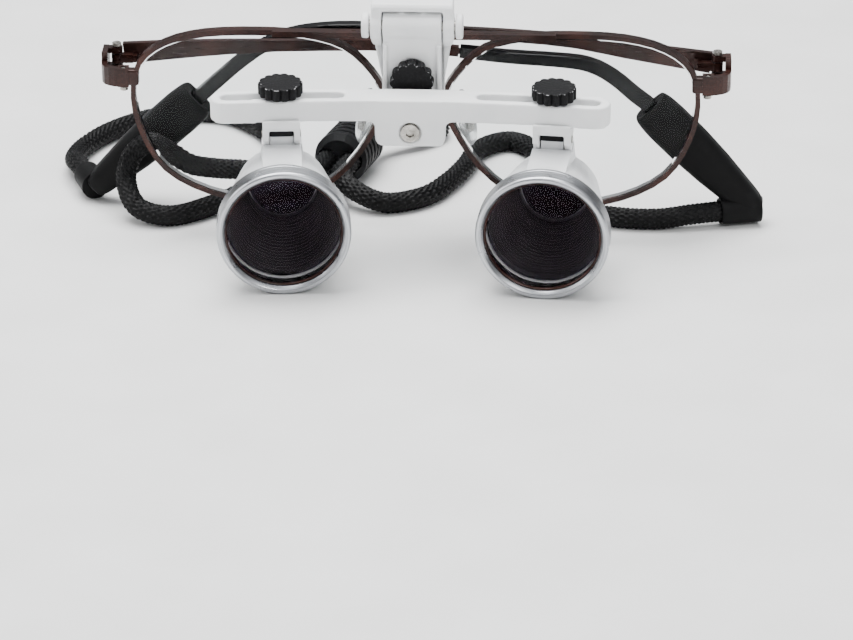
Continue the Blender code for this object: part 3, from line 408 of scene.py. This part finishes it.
def clear_sheet():
    """Clear polycarbonate with a trace of grey, hairline scratches and a faint polishing wave."""
    material, tree, shader, coords = start_finish("clear_sheet", (0.95, 0.965, 0.97), 0.04)
    shader.inputs["Transmission Weight"].default_value = 1.0
    shader.inputs["IOR"].default_value = 1.12
    wave = grain(tree, coords.outputs["Object"], 60.0, 2.0)
    hair = grain(tree, coords.outputs["Object"], 700.0, 4.0, stretch=(0.2, 1.0, 2.2), turn=(0.0, 0.6, 0.0))
    tree.links.new(spread(tree, hair, 0.0, 0.02, 0.5, 0.85), shader.inputs["Roughness"])
    tree.links.new(
        shades(
            tree, wave,
            (0.3, (0.92, 0.945, 0.95)), (0.7, (0.975, 0.98, 0.985)),
        ),
        shader.inputs["Base Color"],
    )
    relief(tree, shader, wave, 0.00002, 0.2)
    return material


def clear_silicone():
    """Soft clear silicone, slightly milky, with a greasy bloom on its face."""
    material, tree, shader, coords = start_finish("clear_silicone", (0.93, 0.95, 0.96), 0.18)
    shader.inputs["Transmission Weight"].default_value = 0.88
    shader.inputs["IOR"].default_value = 1.41
    milk = grain(tree, coords.outputs["Object"], 260.0, 3.0)
    tree.links.new(
        shades(
            tree, milk,
            (0.3, (0.86, 0.89, 0.90)), (0.7, (0.97, 0.98, 0.985)),
        ),
        shader.inputs["Base Color"],
    )
    tree.links.new(spread(tree, milk, 0.1, 0.3), shader.inputs["Roughness"])
    relief(tree, shader, milk, 0.00008, 0.3)
    return material


lens_sheet = clear_sheet()
dress(["lens_left", "lens_right"], lens_sheet)
silicone = clear_silicone()
PAD_PLACE = metres((11.2, 6.4, 18.8))
PAD_HALVES = metres((1.25, 3.5, 6.5))
INSERT_HALVES = metres((0.32, 1.5, 3.4))
PAD_FACING = (math.radians(-14), math.radians(-22))
FRONT_LEAN = math.radians(5.0)
FRONT_SHIFT = metres((0.0, 7.96, 6.95))


def turn_about(axis, angle):
    """The matrix of a turn about one of the three axes."""
    c, s = math.cos(angle), math.sin(angle)
    rows = {
        "X": ((1, 0, 0), (0, c, -s), (0, s, c)),
        "Y": ((c, 0, s), (0, 1, 0), (-s, 0, c)),
        "Z": ((c, -s, 0), (s, c, 0), (0, 0, 1)),
    }
    return np.array(rows[axis])


def on_front(places):
    """Places in the leaning frame of the spectacle front, brought to the table's frame."""
    return places @ turn_about("X", FRONT_LEAN).T + FRONT_SHIFT


def pillow(halves, belly, squareness, rows=40, columns=64):
    """A superellipsoid: x, y and z are its three half sizes times powers of the sines and
    cosines of latitude and longitude, and the belly widens its lower half."""
    latitude = np.linspace(-math.pi / 2, math.pi / 2, rows)[:, None]
    longitude = (np.arange(columns) / columns * math.tau)[None, :]

    def power(value):
        """The size of a value raised to the squareness, with its sign kept."""
        return np.sign(value) * np.abs(value) ** squareness

    ring = power(np.cos(latitude))
    height = np.broadcast_to(power(np.sin(latitude)), (rows, columns))
    width = 1.0 - belly * height
    return np.stack((
        halves[0] * ring * power(np.cos(longitude)), halves[1] * width * ring * power(np.sin(longitude)),
        halves[2] * height,
    ), axis=-1)


for side, sign in (("left", -1), ("right", 1)):
    turn = turn_about("Z", sign * PAD_FACING[1]) @ turn_about("Y", sign * PAD_FACING[0])
    place = PAD_PLACE * (sign, 1, 1)
    for name, shape, material, slot in (
        ("silicone_pad_" + side, pillow(PAD_HALVES * (1, 0.93, 1), 0.08, 0.86), silicone, "silicone"),
        ("pad_insert_" + side, pillow(INSERT_HALVES, 0.0, 0.5, 16, 24), screw_steel, "screw_steel"),
    ):
        pad = skin(name, on_front(shape @ turn.T + place))
        pad.data.materials.append(material)
        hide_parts("nose_pad_" + side)
        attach(pad, "pad_" + side)

# ---- Rim closing blocks --------------------------------------------------------------------------
# The small brown blocks brazed to the rims, where the endpieces join them. The frame's solids
# leave a gap there, and these blocks cover it: they have no solid of their own.
CLOSING_BLOCK = metres(((62.35, 2.0, 29.4), (1.35, 1.15, 1.85)))
for side, sign in (("left", -1), ("right", 1)):
    block_shape = pillow(CLOSING_BLOCK[1], 0.0, 0.3, 24, 40)
    block = skin("rim_block_" + side, on_front(block_shape + CLOSING_BLOCK[0] * (sign, 1, 1)))
    block.data.materials.append(brown_metal)
    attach(block, "front")

# ---- Temples, ear tips and strap sleeves ----------------------------------------------------
# Flat drawn temple bars in the same lacquer, dipped in glossy black for the ear tips, with
# moulded rubber sleeves pushed over the tips to hold the strap.


def dipped_black():
    """Glossy black dip coating, with a slow wave in its skin and a few dull rubs."""
    material, tree, shader, coords = start_finish("dipped_black", (0.012, 0.012, 0.014), 0.12)
    wave = grain(tree, coords.outputs["Object"], 90.0, 2.0)
    rubs = grain(tree, coords.outputs["Object"], 420.0, 4.0, stretch=(1.0, 1.0, 2.5))
    tree.links.new(
        shades(
            tree, rubs,
            (0.4, (0.0015, 0.0015, 0.0018)), (0.75, (0.004, 0.0039, 0.0043)),
        ),
        shader.inputs["Base Color"],
    )
    tree.links.new(spread(tree, rubs, 0.07, 0.24, 0.45, 0.75), shader.inputs["Roughness"])
    relief(tree, shader, wave, 0.0002, 0.35)
    shader.inputs["Specular IOR Level"].default_value = 0.2
    return material


def sleeve_rubber():
    """Matt black rubber: a fine dry grain, dusty paler clouds and a broad soft highlight."""
    material, tree, shader, coords = start_finish("sleeve_rubber", (0.022, 0.022, 0.023), 0.6)
    dry = grain(tree, coords.outputs["Object"], 3200.0, 4.0)
    dust = grain(tree, coords.outputs["Object"], 150.0, 5.0)
    tree.links.new(
        shades(
            tree, dust,
            (0.35, (0.0018, 0.0018, 0.002)), (0.6, (0.004, 0.004, 0.0043)), (0.8, (0.010, 0.010, 0.0104)),
        ),
        shader.inputs["Base Color"],
    )
    tree.links.new(spread(tree, dust, 0.46, 0.68), shader.inputs["Roughness"])
    relief(tree, shader, dry, 0.00004, 0.4)
    shader.inputs["Specular IOR Level"].default_value = 0.11
    return material


dress(["temple_left", "temple_right"], brown_metal)
dress(["temple_tip_left", "temple_tip_right"], dipped_black())
HINGE_PLACE = metres((66.65, 9.4, 0.0))
TEMPLE_TURN = {"left": math.radians(-0.5), "right": math.pi - math.radians(2.7)}
BAR_OFFSET = 0.0016
SLEEVE_RUN = {
    "left": metres(((118.6, 20.5), (143.0, -4.45))),
    "right": metres(((116.4, 18.2), (141.0, -5.05))),
}
SLEEVE_SHARES = np.array((0.0, 0.02, 0.06, 0.16, 0.38, 0.6, 0.78, 0.92, 0.985, 1.0))
SLEEVE_WIDTHS = metres((4.1, 4.45, 4.7, 4.9, 4.85, 4.4, 3.7, 3.15, 2.7, 2.0))
SLEEVE_DEPTHS = metres((2.7, 3.0, 3.2, 3.3, 3.3, 3.3, 3.3, 3.3, 3.1, 2.5))
MOUTH_HALVES = metres((2.0, 1.6))
NOZZLE_TURN = {"left": math.radians(-165), "right": math.radians(115)}
NOZZLE_REACH = {"left": 0.0085, "right": 0.0065}
NOZZLE_PROFILE = metres([
    (0.0, -0.8), (3.3, -0.7), (3.25, 1.2), (3.12, 3.0), (3.08, 0.4), (2.95, 0.0), (2.7, 0.0), (2.42, -0.5),
    (2.42, -2.6), (0.0, -2.6),
])


def sleeve_shape(run):
    """The long rubber body: a rounded oblong section, whose two half sizes follow curves along
    the run, with a rolled mouth and a shallow socket inside it where the ear tip goes in."""
    share = np.linspace(0.0, 1.0, 60)
    wide = np.interp(share, SLEEVE_SHARES, SLEEVE_WIDTHS)
    deep = np.interp(share, SLEEVE_SHARES, SLEEVE_DEPTHS)
    kernel = np.array((1, 2, 3, 2, 1)) / 9.0
    wide[2:-2] = np.convolve(wide, kernel, "valid")
    deep[2:-2] = np.convolve(deep, kernel, "valid")
    length = np.linalg.norm(run[1] - run[0])
    steps = share * length
    steps = np.concatenate(((0.004, 0.004, 0.0003, 0.0), steps, (length,)))
    wide = np.concatenate(((0.0, MOUTH_HALVES[0], MOUTH_HALVES[0], 0.0033), wide, (0.0,)))
    deep = np.concatenate(((0.0, MOUTH_HALVES[1], MOUTH_HALVES[1], 0.0022), deep, (0.0,)))
    along = (run[1] - run[0]) / length
    across = np.array((-along[1], along[0]))
    angle = np.arange(56) / 56 * math.tau
    side = np.sign(np.cos(angle)) * np.abs(np.cos(angle)) ** 0.62
    face = np.sign(np.sin(angle)) * np.abs(np.sin(angle)) ** 0.62
    flat = run[0] + steps[:, None] * along
    plan = flat[:, None] + (wide[:, None] * side)[..., None] * across
    return np.stack((plan[..., 0], deep[:, None] * face, plan[..., 1]), axis=-1)


def nozzle_shape(foot, heading, reach):
    """The short socket that grips the cord: its profile of radius and distance, turned about a
    line that leaves the sleeve's end flat and at the heading."""
    profile = NOZZLE_PROFILE.copy()
    profile[3:, 1] += reach
    profile[3, 1] = reach - 0.0012
    profile[4, 1] = reach - 0.0004
    angle = np.arange(40) / 40 * math.tau
    ahead = np.array((math.cos(heading), math.sin(heading), 0.0))
    aside = np.array((-math.sin(heading), math.cos(heading), 0.0))
    ring = np.cos(angle)[:, None] * aside + np.sin(angle)[:, None] * np.array((0.0, 0.0, 1.0))
    return foot + profile[:, 1][:, None, None] * ahead + profile[:, 0][:, None, None] * ring


rubber = sleeve_rubber()
for side, sign in (("left", -1), ("right", 1)):
    turn = turn_about("Z", TEMPLE_TURN[side])
    hinge = HINGE_PLACE * (sign, 1, 1)
    middle = np.array((0.0, -sign * BAR_OFFSET, 0.0))
    run = SLEEVE_RUN[side]
    foot = np.array((run[1, 0], 0.0, run[1, 1] + 0.00035))
    heading = NOZZLE_TURN[side] - TEMPLE_TURN[side]
    for name, shape in (
        ("rubber_sleeve_" + side, sleeve_shape(run)),
        ("sleeve_nozzle_" + side, nozzle_shape(foot, heading, NOZZLE_REACH[side])),
    ):
        piece = skin(name, on_front((shape + middle) @ turn.T + hinge), sharp=50.0)
        piece.data.materials.append(rubber)
        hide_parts("sleeve_" + side)
        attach(piece, "temple_" + side)

# ---- Flip mount, flip arm and height carriage -------------------------------------------------
# White injection mouldings. The yoke is clamped through the bridge by two screws, the arm
# swings in it on a pin, and the carriage slides behind the arm under its knob.


def white_moulding():
    """Satin white moulding: faint flow clouds, spark-eroded skin, and polish on rubbed parts."""
    material, tree, shader, coords = start_finish("white_moulding", (0.83, 0.84, 0.845), 0.42)
    place = coords.outputs["Object"]
    fine = grain(tree, place, 3400.0, 3.0)
    flow = grain(tree, place, 85.0, 4.0, stretch=(1.0, 1.0, 0.6))
    tree.links.new(
        shades(
            tree, flow,
            (0.28, (0.76, 0.772, 0.78)), (0.5, (0.835, 0.842, 0.845)), (0.75, (0.875, 0.88, 0.878)),
        ),
        shader.inputs["Base Color"],
    )
    tree.links.new(spread(tree, flow, 0.34, 0.52), shader.inputs["Roughness"])
    relief(tree, shader, fine, 0.00003, 0.45)
    shader.inputs["Subsurface Weight"].default_value = 0.08
    shader.inputs["Subsurface Radius"].default_value = (0.0015, 0.0014, 0.0012)
    return material


white_plastic = white_moulding()
dress(
    [
        "clamp_plate", "height_carriage",
    ],
    white_plastic,
)


def softened_copy(node, body, grid, passes):
    """A copy of a CAD moulding, merged, resampled on an even grid and relaxed a few times, so
    that its edges and corners are rounded as a mould leaves them."""
    name = node + "_moulding"
    thing = bpy.data.objects.new(name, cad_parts[node].data.copy())
    bpy.context.scene.collection.objects.link(thing)
    work = bmesh.new()
    work.from_mesh(thing.data)
    bmesh.ops.remove_doubles(work, verts=work.verts, dist=2e-6)
    work.to_mesh(thing.data)
    work.free()
    resample = thing.modifiers.new("resample", "REMESH")
    resample.mode = "VOXEL"
    resample.voxel_size = grid
    resample.use_smooth_shade = True
    relax = thing.modifiers.new("relax", "SMOOTH")
    relax.factor = 0.5
    relax.iterations = passes
    shape = bpy.data.meshes.new_from_object(thing.evaluated_get(bpy.context.evaluated_depsgraph_get()))
    thing.modifiers.clear()
    thing.data = shape
    shape.name = name
    shape.materials.clear()
    shape.materials.append(white_plastic)
    shape.shade_smooth()
    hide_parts(node)
    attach(thing, body)


for node, body, grid, passes in (
    ("crossbar", "carriage", 0.00032, 7),
    ("mount_yoke", "front", 0.00028, 3),
    ("flip_arm", "flip_arm", 0.00025, 3),
    ("hanger_left", "slide_left", 0.00018, 4),
    ("hanger_right", "slide_right", 0.00018, 4),
    ("pivot_cap_left", "front", 0.0002, 6),
    ("pivot_cap_right", "front", 0.0002, 6),
):
    softened_copy(node, body, grid, passes)
dress(
    [
        "mount_screw_upper", "mount_screw_lower", "pivot_pin", "height_stud", "crossbar_screw",
        "pd_stud_left", "pd_stud_right", "tilt_pin_left", "tilt_pin_right",
    ],
    screw_steel,
)

# ---- Finger knobs ------------------------------------------------------------------------------
# Scalloped black nylon knobs moulded on to the clamp studs.
KNOB_HALF = 0.0014
HEIGHT_KNOB = (0.0048, 12)
PD_KNOB = (0.00485, 14)
KNOB_LOBE = 0.00062
ARC_RADIUS = 0.310
ARC_CENTRE_Y = -0.32665
LOUPE_X = {"left": -0.0280, "right": 0.0309}


def knob_black():
    """Black nylon with an open spark-eroded skin; bright specks along its upper rim are painted glints."""
    material, tree, shader, coords = start_finish("knob_black", (0.006, 0.006, 0.007), 0.5)
    place = coords.outputs["Object"]
    coarse = grain(tree, place, 2100.0, 4.0)
    split = tree.nodes.new("ShaderNodeSeparateXYZ")
    tree.links.new(coords.outputs["UV"], split.inputs["Vector"])
    # Painted highlight: bright specks only on the upper rounded edge, as glints where that edge catches the
    # light.
    past_rim = sum_of(tree, "SUBTRACT", split.outputs["X"], 0.69)
    rim = spread(tree, sum_of(tree, "ABSOLUTE", past_rim, 0), 1.0, 0.0, 0.0, 0.045)
    specks = spread(tree, coarse, 0.0, 1.0, 0.53, 0.6)
    rim_glints = sum_of(tree, "MULTIPLY", rim, specks)
    tree.links.new(
        shades(tree, sum_of(tree, "ADD", sum_of(tree, "MULTIPLY", coarse, 0.5), rim_glints),
               (0.2, (0.003, 0.003, 0.0035)), (0.36, (0.0095, 0.0095, 0.0105)), (0.85, (0.42, 0.42, 0.43))),
        shader.inputs["Base Color"],
    )
    tree.links.new(spread(tree, coarse, 0.42, 0.66), shader.inputs["Roughness"])
    relief(tree, shader, coarse, 0.00009, 0.8)
    shader.inputs["Specular IOR Level"].default_value = 0.13
    return material


def knob_shape(radius, lobes):
    """A disc of round lobes: the edge is radius less a share of 1 - |cos| of half the lobe's
    angle, and the share fades to nothing on the two faces. Rounded corners join edge and faces."""
    reach = np.array((0.0, 0.45, 0.80, 0.925, 0.97, 0.993, 1.0, 1.0, 1.0, 0.993, 0.97, 0.925, 0.86, 0.5, 0.0))
    height = np.array((
        -1.0, -1.0, -1.0, -1.0, -0.96, -0.86, -0.7, 0.0, 0.7, 0.86, 0.96, 1.0, 0.985, 0.97, 0.97,
    ))
    lobed = np.array((0.0, 0.0, 0.5, 1.0, 1.0, 1.0, 1.0, 1.0, 1.0, 1.0, 1.0, 1.0, 0.5, 0.0, 0.0))
    angle = np.arange(lobes * 12) / (lobes * 12) * math.tau
    dip = KNOB_LOBE * (1.0 - np.abs(np.cos(lobes * angle / 2)) ** 0.8)
    out = radius * reach[:, None] - lobed[:, None] * dip
    return np.stack((
        out * np.cos(angle), out * np.sin(angle), np.repeat(KNOB_HALF * height[:, None], len(angle), axis=1),
    ), axis=-1), np.linspace(0.0, 1.0, len(reach))


def on_loupe(places, side):
    """Places drawn for a loupe in the middle, carried round the crossbar's arc to this side."""
    angle = math.asin(LOUPE_X[side] / ARC_RADIUS)
    centre = np.array((0.0, ARC_CENTRE_Y, 0.0))
    return (places - centre) @ turn_about("Z", -angle).T + centre


# A thin black plate in each hanger's window: a dark sheet of painted shade, made up to give the
# window its dark recess, and it has no solid of its own.
SHADE_PLATE_HALVES = metres((2.62, 0.12, 0.95))
SHADE_PLATE_PLACE = metres((0.0, -19.15, 26.6))
for side in ("left", "right"):
    shade_plate_shape = pillow(SHADE_PLATE_HALVES, 0.0, 0.25, 20, 40)
    shade_plate = skin("window_shade_plate_" + side, on_front(on_loupe(shade_plate_shape + SHADE_PLATE_PLACE, side)))
    shade_plate.data.materials.append(black_plastic)
    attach(shade_plate, "slide_" + side)

knob_plastic = knob_black()
knob_places = {
    "height": on_front(
        knob_shape(*HEIGHT_KNOB)[0] @ turn_about("X", math.pi / 2).T + metres((0.0, -10.9, 34.9))
    ),
}
for side in ("left", "right"):
    knob_places["pd_" + side] = on_front(
        on_loupe(knob_shape(*PD_KNOB)[0] + metres((0.0, -16.65, 36.05)), side)
    )
for name, body, node in (
    ("height", "height_knob", "height_knob"), ("pd_left", "pd_knob_left", "pd_knob_left"),
    ("pd_right", "pd_knob_right", "pd_knob_right"),
):
    knob = skin("finger_knob_" + name, knob_places[name], uv=(knob_shape(*HEIGHT_KNOB)[1], 1.0), sharp=48.0)
    knob.data.materials.append(knob_plastic)
    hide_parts(node)
    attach(knob, body)

# ---- Loupes --------------------------------------------------------------------------------------
# Each loupe is a spun and coated cone with a brushed aluminium ring screwed to its front, a
# coated objective in the ring, and a ribbed black baffle tube down to the eyepiece.


def barrel_coat():
    """Pale silver-white coating over spun metal: fine turning rings and a soft metal gleam."""
    material, tree, shader, coords = start_finish("barrel_coat", (0.78, 0.79, 0.80), 0.36, 0.25)
    place = coords.outputs["Object"]
    rings = grain(tree, place, 2400.0, 2.0, stretch=(0.12, 1.0, 0.12))
    cloud = grain(tree, place, 110.0, 3.0)
    tree.links.new(
        shades(
            tree, cloud,
            (0.3, (0.68, 0.69, 0.70)), (0.55, (0.78, 0.79, 0.80)), (0.8, (0.85, 0.855, 0.86)),
        ),
        shader.inputs["Base Color"],
    )
    tree.links.new(spread(tree, rings, 0.28, 0.46), shader.inputs["Roughness"])
    relief(tree, shader, rings, 0.00002, 0.5)
    return material


def brushed_aluminium():
    """Turned aluminium: close cuts round the axis, read along the profile's own run, so the
    gleam is drawn out across them, with handling haze over all."""
    material, tree, shader, coords = start_finish("brushed_aluminium", (0.42, 0.43, 0.45), 0.3, 1.0)
    cuts = grain(tree, coords.outputs["UV"], 130.0, 4.0, stretch=(1.0, 0.03, 1.0))
    streaks = grain(tree, coords.outputs["UV"], 9.0, 4.0, stretch=(4.0, 0.6, 1.0))
    haze = grain(tree, coords.outputs["Object"], 240.0, 3.0)
    tone = sum_of(tree, "ADD", sum_of(tree, "MULTIPLY", cuts, 0.55), sum_of(tree, "MULTIPLY", streaks, 0.45))
    tree.links.new(
        shades(tree, tone, (0.36, (0.25, 0.26, 0.28)), (0.5, (0.40, 0.41, 0.43)), (0.62, (0.58, 0.59, 0.61))),
        shader.inputs["Base Color"],
    )
    tree.links.new(spread(tree, haze, 0.24, 0.4), shader.inputs["Roughness"])
    relief(tree, shader, cuts, 0.00002, 0.5)
    return material


def coated_lens():
    """Objective glass under a soft purple coating, so it hardly mirrors what is before it."""
    material, tree, shader, coords = start_finish("coated_lens", (0.97, 0.96, 0.97), 0.01)
    shader.inputs["Transmission Weight"].default_value = 1.0
    shader.inputs["IOR"].default_value = 1.12
    shader.inputs["Specular Tint"].default_value = (0.9, 0.62, 0.95, 1.0)
    dust = grain(tree, coords.outputs["Object"], 1900.0, 4.0)
    tree.links.new(spread(tree, dust, 0.0, 0.05, 0.6, 0.85), shader.inputs["Roughness"])
    relief(tree, shader, dust, 0.00001, 0.1)
    return material


def baffle_black():
    """Dead-flat black anodising with a faint warm cast mottled at random over it."""
    material, tree, shader, coords = start_finish("baffle_black", (0.003, 0.003, 0.003), 0.5)
    fine = grain(tree, coords.outputs["Object"], 2400.0, 3.0)
    tree.links.new(
        shades(
            tree, fine,
            (0.3, (0.0012, 0.0012, 0.0012)), (0.75, (0.0055, 0.0048, 0.0045)),
        ),
        shader.inputs["Base Color"],
    )
    tree.links.new(spread(tree, fine, 0.36, 0.6), shader.inputs["Roughness"])
    relief(tree, shader, fine, 0.00004, 0.5)
    shader.inputs["Specular IOR Level"].default_value = 0.22
    return material


def ocular_glass():
    """The deep rear lens group: glass tinted so dark, as painted shade of the loupe's dark inside,
    that little comes through.
    """
    material, tree, shader, coords = start_finish("ocular_glass", (0.03, 0.022, 0.035), 0.02)
    shader.inputs["Transmission Weight"].default_value = 1.0
    shader.inputs["IOR"].default_value = 1.18
    tint = grain(tree, coords.outputs["Object"], 150.0, 2.0)
    # Painted shade: the near-black colours stand for the dark deep inside the loupe.
    tree.links.new(
        shades(
            tree, tint,
            (0.3, (0.006, 0.0045, 0.0075)), (0.7, (0.014, 0.011, 0.016)),
        ),
        shader.inputs["Base Color"],
    )
    relief(tree, shader, tint, 0.00001, 0.1)
    return material


def turned_shape(profile, side, steps=96):
    """A closed or axis-to-axis profile of radius and depth, spun about the loupe's own axis,
    rounded at every corner by a short parabola from a little before it to a little after."""
    points = metres(profile)
    whole = points[0, 0] > 0
    before = np.roll(points, 1, axis=0)
    after = np.roll(points, -1, axis=0)
    way_in = before - points
    way_out = after - points
    size_in = np.linalg.norm(way_in, axis=1)[:, None]
    size_out = np.linalg.norm(way_out, axis=1)[:, None]
    cut_in = np.minimum(CORNER_CUT, 0.42 * size_in)
    cut_out = np.minimum(CORNER_CUT, 0.42 * size_out)
    t = np.linspace(0.0, 1.0, 4)[None, :, None]
    start = (points + way_in / size_in * cut_in)[:, None]
    end = (points + way_out / size_out * cut_out)[:, None]
    rounded = (1 - t) ** 2 * start + 2 * t * (1 - t) * points[:, None] + t**2 * end
    if not whole:
        rounded[0] = points[0]
        rounded[-1] = points[-1]
    line = rounded.reshape(-1, 2)
    run = np.concatenate(((0.0,), np.cumsum(np.linalg.norm(np.diff(line, axis=0), axis=1))))
    angle = np.arange(steps) / steps * math.tau
    radius = line[:, 0][:, None]
    places = np.stack((
        radius * np.sin(angle),
        np.repeat(line[:, 1][:, None], steps, axis=1),
        LOUPE_AXIS_Z + radius * np.cos(angle),
    ), axis=-1)
    return on_front(on_loupe(places, side)), run, whole


def fit_turned(name, profile, side, material, node, steps=96):
    """A turned piece of one loupe, in place of its CAD node."""
    places, run, whole = turned_shape(profile, side, steps)
    piece = skin(name + "_" + side, places, loop=whole, uv=(run * 100.0, 1.0), sharp=55.0)
    piece.data.materials.append(material)
    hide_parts(node + "_" + side)
    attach(piece, "loupe_" + side)


LOUPE_AXIS_Z = 0.0108
CORNER_CUT = 0.00022
RIDGES = 17
RIDGE_START = -31.3
RIDGE_END = -14.4
silver_coat = barrel_coat()
ring_metal = brushed_aluminium()
loupe_glass = coated_lens()
tube_black = baffle_black()
rear_glass = ocular_glass()
ridge_depth = np.linspace(RIDGE_START, RIDGE_END, RIDGES + 1)[:-1]
ridge_reach = 11.75 - 4.3 * (ridge_depth - RIDGE_START) / (RIDGE_END - RIDGE_START)
ridge_gap = (RIDGE_END - RIDGE_START) / RIDGES
ridge_profile = np.stack((
    np.stack((ridge_reach, ridge_depth), axis=1),
    np.stack((ridge_reach - 0.62, ridge_depth + 0.12 * ridge_gap), axis=1),
    np.stack((ridge_reach - 0.70, ridge_depth + 0.42 * ridge_gap), axis=1),
    np.stack((ridge_reach - 0.20, ridge_depth + 0.60 * ridge_gap), axis=1),
), axis=1).reshape(-1, 2)
for side in ("left", "right"):
    dress(["barrel_" + side], silver_coat)
    fit_turned("turned_ring", [
        (14.15, -32.0), (14.45, -32.3), (14.45, -33.1), (14.38, -33.25), (14.45, -33.4), (14.45, -36.45),
        (14.1, -36.97), (13.35, -37.0), (12.66, -36.15), (12.6, -32.0),
    ], side, ring_metal, "objective_ring", 128)
    # Painted reflection: the retaining rim takes the brown lacquer to show the frame's brown reflected at the
    # lens edge.
    fit_turned("retaining_rim", [
        (12.62, -35.45), (12.62, -36.05), (12.45, -36.0), (12.15, -35.62), (12.2, -35.45),
    ], side, brown_metal, "objective_ring")
    fit_turned("eyepiece_rim", [
        (8.55, -10.8), (8.9, -11.1), (8.9, -11.7), (6.8, -11.7), (6.9, -11.2), (7.4, -10.8),
    ], side, ring_metal, "eyepiece_ring")
    fit_turned("objective_glass", [
        (0.0, -33.6), (4.0, -33.66), (8.0, -33.88), (12.1, -34.25), (12.55, -34.3), (12.55, -35.4),
        (11.2, -35.68), (9.5, -36.0), (7.0, -36.35), (4.0, -36.6), (0.0, -36.7),
    ], side, loupe_glass, "objective_lens")
    fit_turned("eyepiece_glass", [
        (0.0, -12.2), (3.5, -12.26), (6.8, -12.5), (6.8, -13.4), (3.5, -13.78), (0.0, -13.9),
    ], side, rear_glass, "eyepiece_lens", 64)
    fit_turned("baffle", [
        (7.85, -12.4), (7.85, -13.0), (12.3, -31.4), *ridge_profile, (7.1, -14.3), (7.1, -12.4),
    ], side, tube_black, "baffle_tube", 80)

# ---- Table and studio light ----------------------------------------------------------------------
# A plain pale table top under one big overhead panel, with a softer front panel beside the
# camera and a weak fill from the side.
TABLE_HALF = 1.6


def table_top():
    """A flat square at the object's lowest point, in a pale, very faintly mottled laminate."""
    corners = TABLE_HALF * np.array(((-1, -1, 0), (1, -1, 0), (1, 1, 0), (-1, 1, 0)), float)
    mesh = bpy.data.meshes.new("table_top")
    mesh.from_pydata(corners, [], [(0, 1, 2, 3)])
    material, tree, shader, coords = start_finish("pale_laminate", (0.82, 0.82, 0.81), 0.55)
    mottle = grain(tree, coords.outputs["Object"], 40.0, 4.0)
    tree.links.new(
        shades(
            tree, mottle,
            (0.3, (0.80, 0.80, 0.79)), (0.7, (0.84, 0.84, 0.835)),
        ),
        shader.inputs["Base Color"],
    )
    tree.links.new(spread(tree, mottle, 0.5, 0.62), shader.inputs["Roughness"])
    mesh.materials.append(material)
    thing = bpy.data.objects.new("table_top", mesh)
    bpy.context.scene.collection.objects.link(thing)
    return thing


def panel(name, place, target, width, height, power):
    """A soft square light at a place, turned to face its target."""
    data = bpy.data.lights.new(name, "AREA")
    data.shape = "RECTANGLE"
    data.size = width
    data.size_y = height
    data.energy = power
    light = bpy.data.objects.new(name, data)
    bpy.context.scene.collection.objects.link(light)
    light.location = place
    away = np.array(place, float) - np.array(target, float)
    light.rotation_euler = (
        math.atan2(math.hypot(away[0], away[1]), away[2]), 0.0, math.atan2(away[0], -away[1]),
    )
    return light


table_top()
panel("overhead_panel", (-0.1, 0.15, 0.95), (0, 0.03, 0), 0.9, 0.7, 22.0)
panel("front_panel", (0.45, -0.8, 0.75), (0, 0, 0.03), 0.5, 0.5, 6.0)
panel("side_panel", (-0.9, -0.1, 0.5), (0, 0, 0.03), 0.4, 0.6, 4.0)
world = bpy.data.worlds.new("studio")
world.use_nodes = True
sky = world.node_tree
sky_place = sky.nodes.new("ShaderNodeTexCoord")
sky_split = sky.nodes.new("ShaderNodeSeparateXYZ")
sky.links.new(sky_place.outputs["Generated"], sky_split.inputs["Vector"])
sky.links.new(
    shades(
        sky, spread(sky, sky_split.outputs["Z"], 0.0, 1.0, -0.05, 0.95),
        (0.0, (0.10, 0.10, 0.105)), (0.35, (0.28, 0.285, 0.29)), (0.9, (0.95, 0.97, 1.0)),
    ),
    sky.nodes["Background"].inputs["Color"],
)
sky.nodes["Background"].inputs["Strength"].default_value = 0.9
bpy.context.scene.world = world
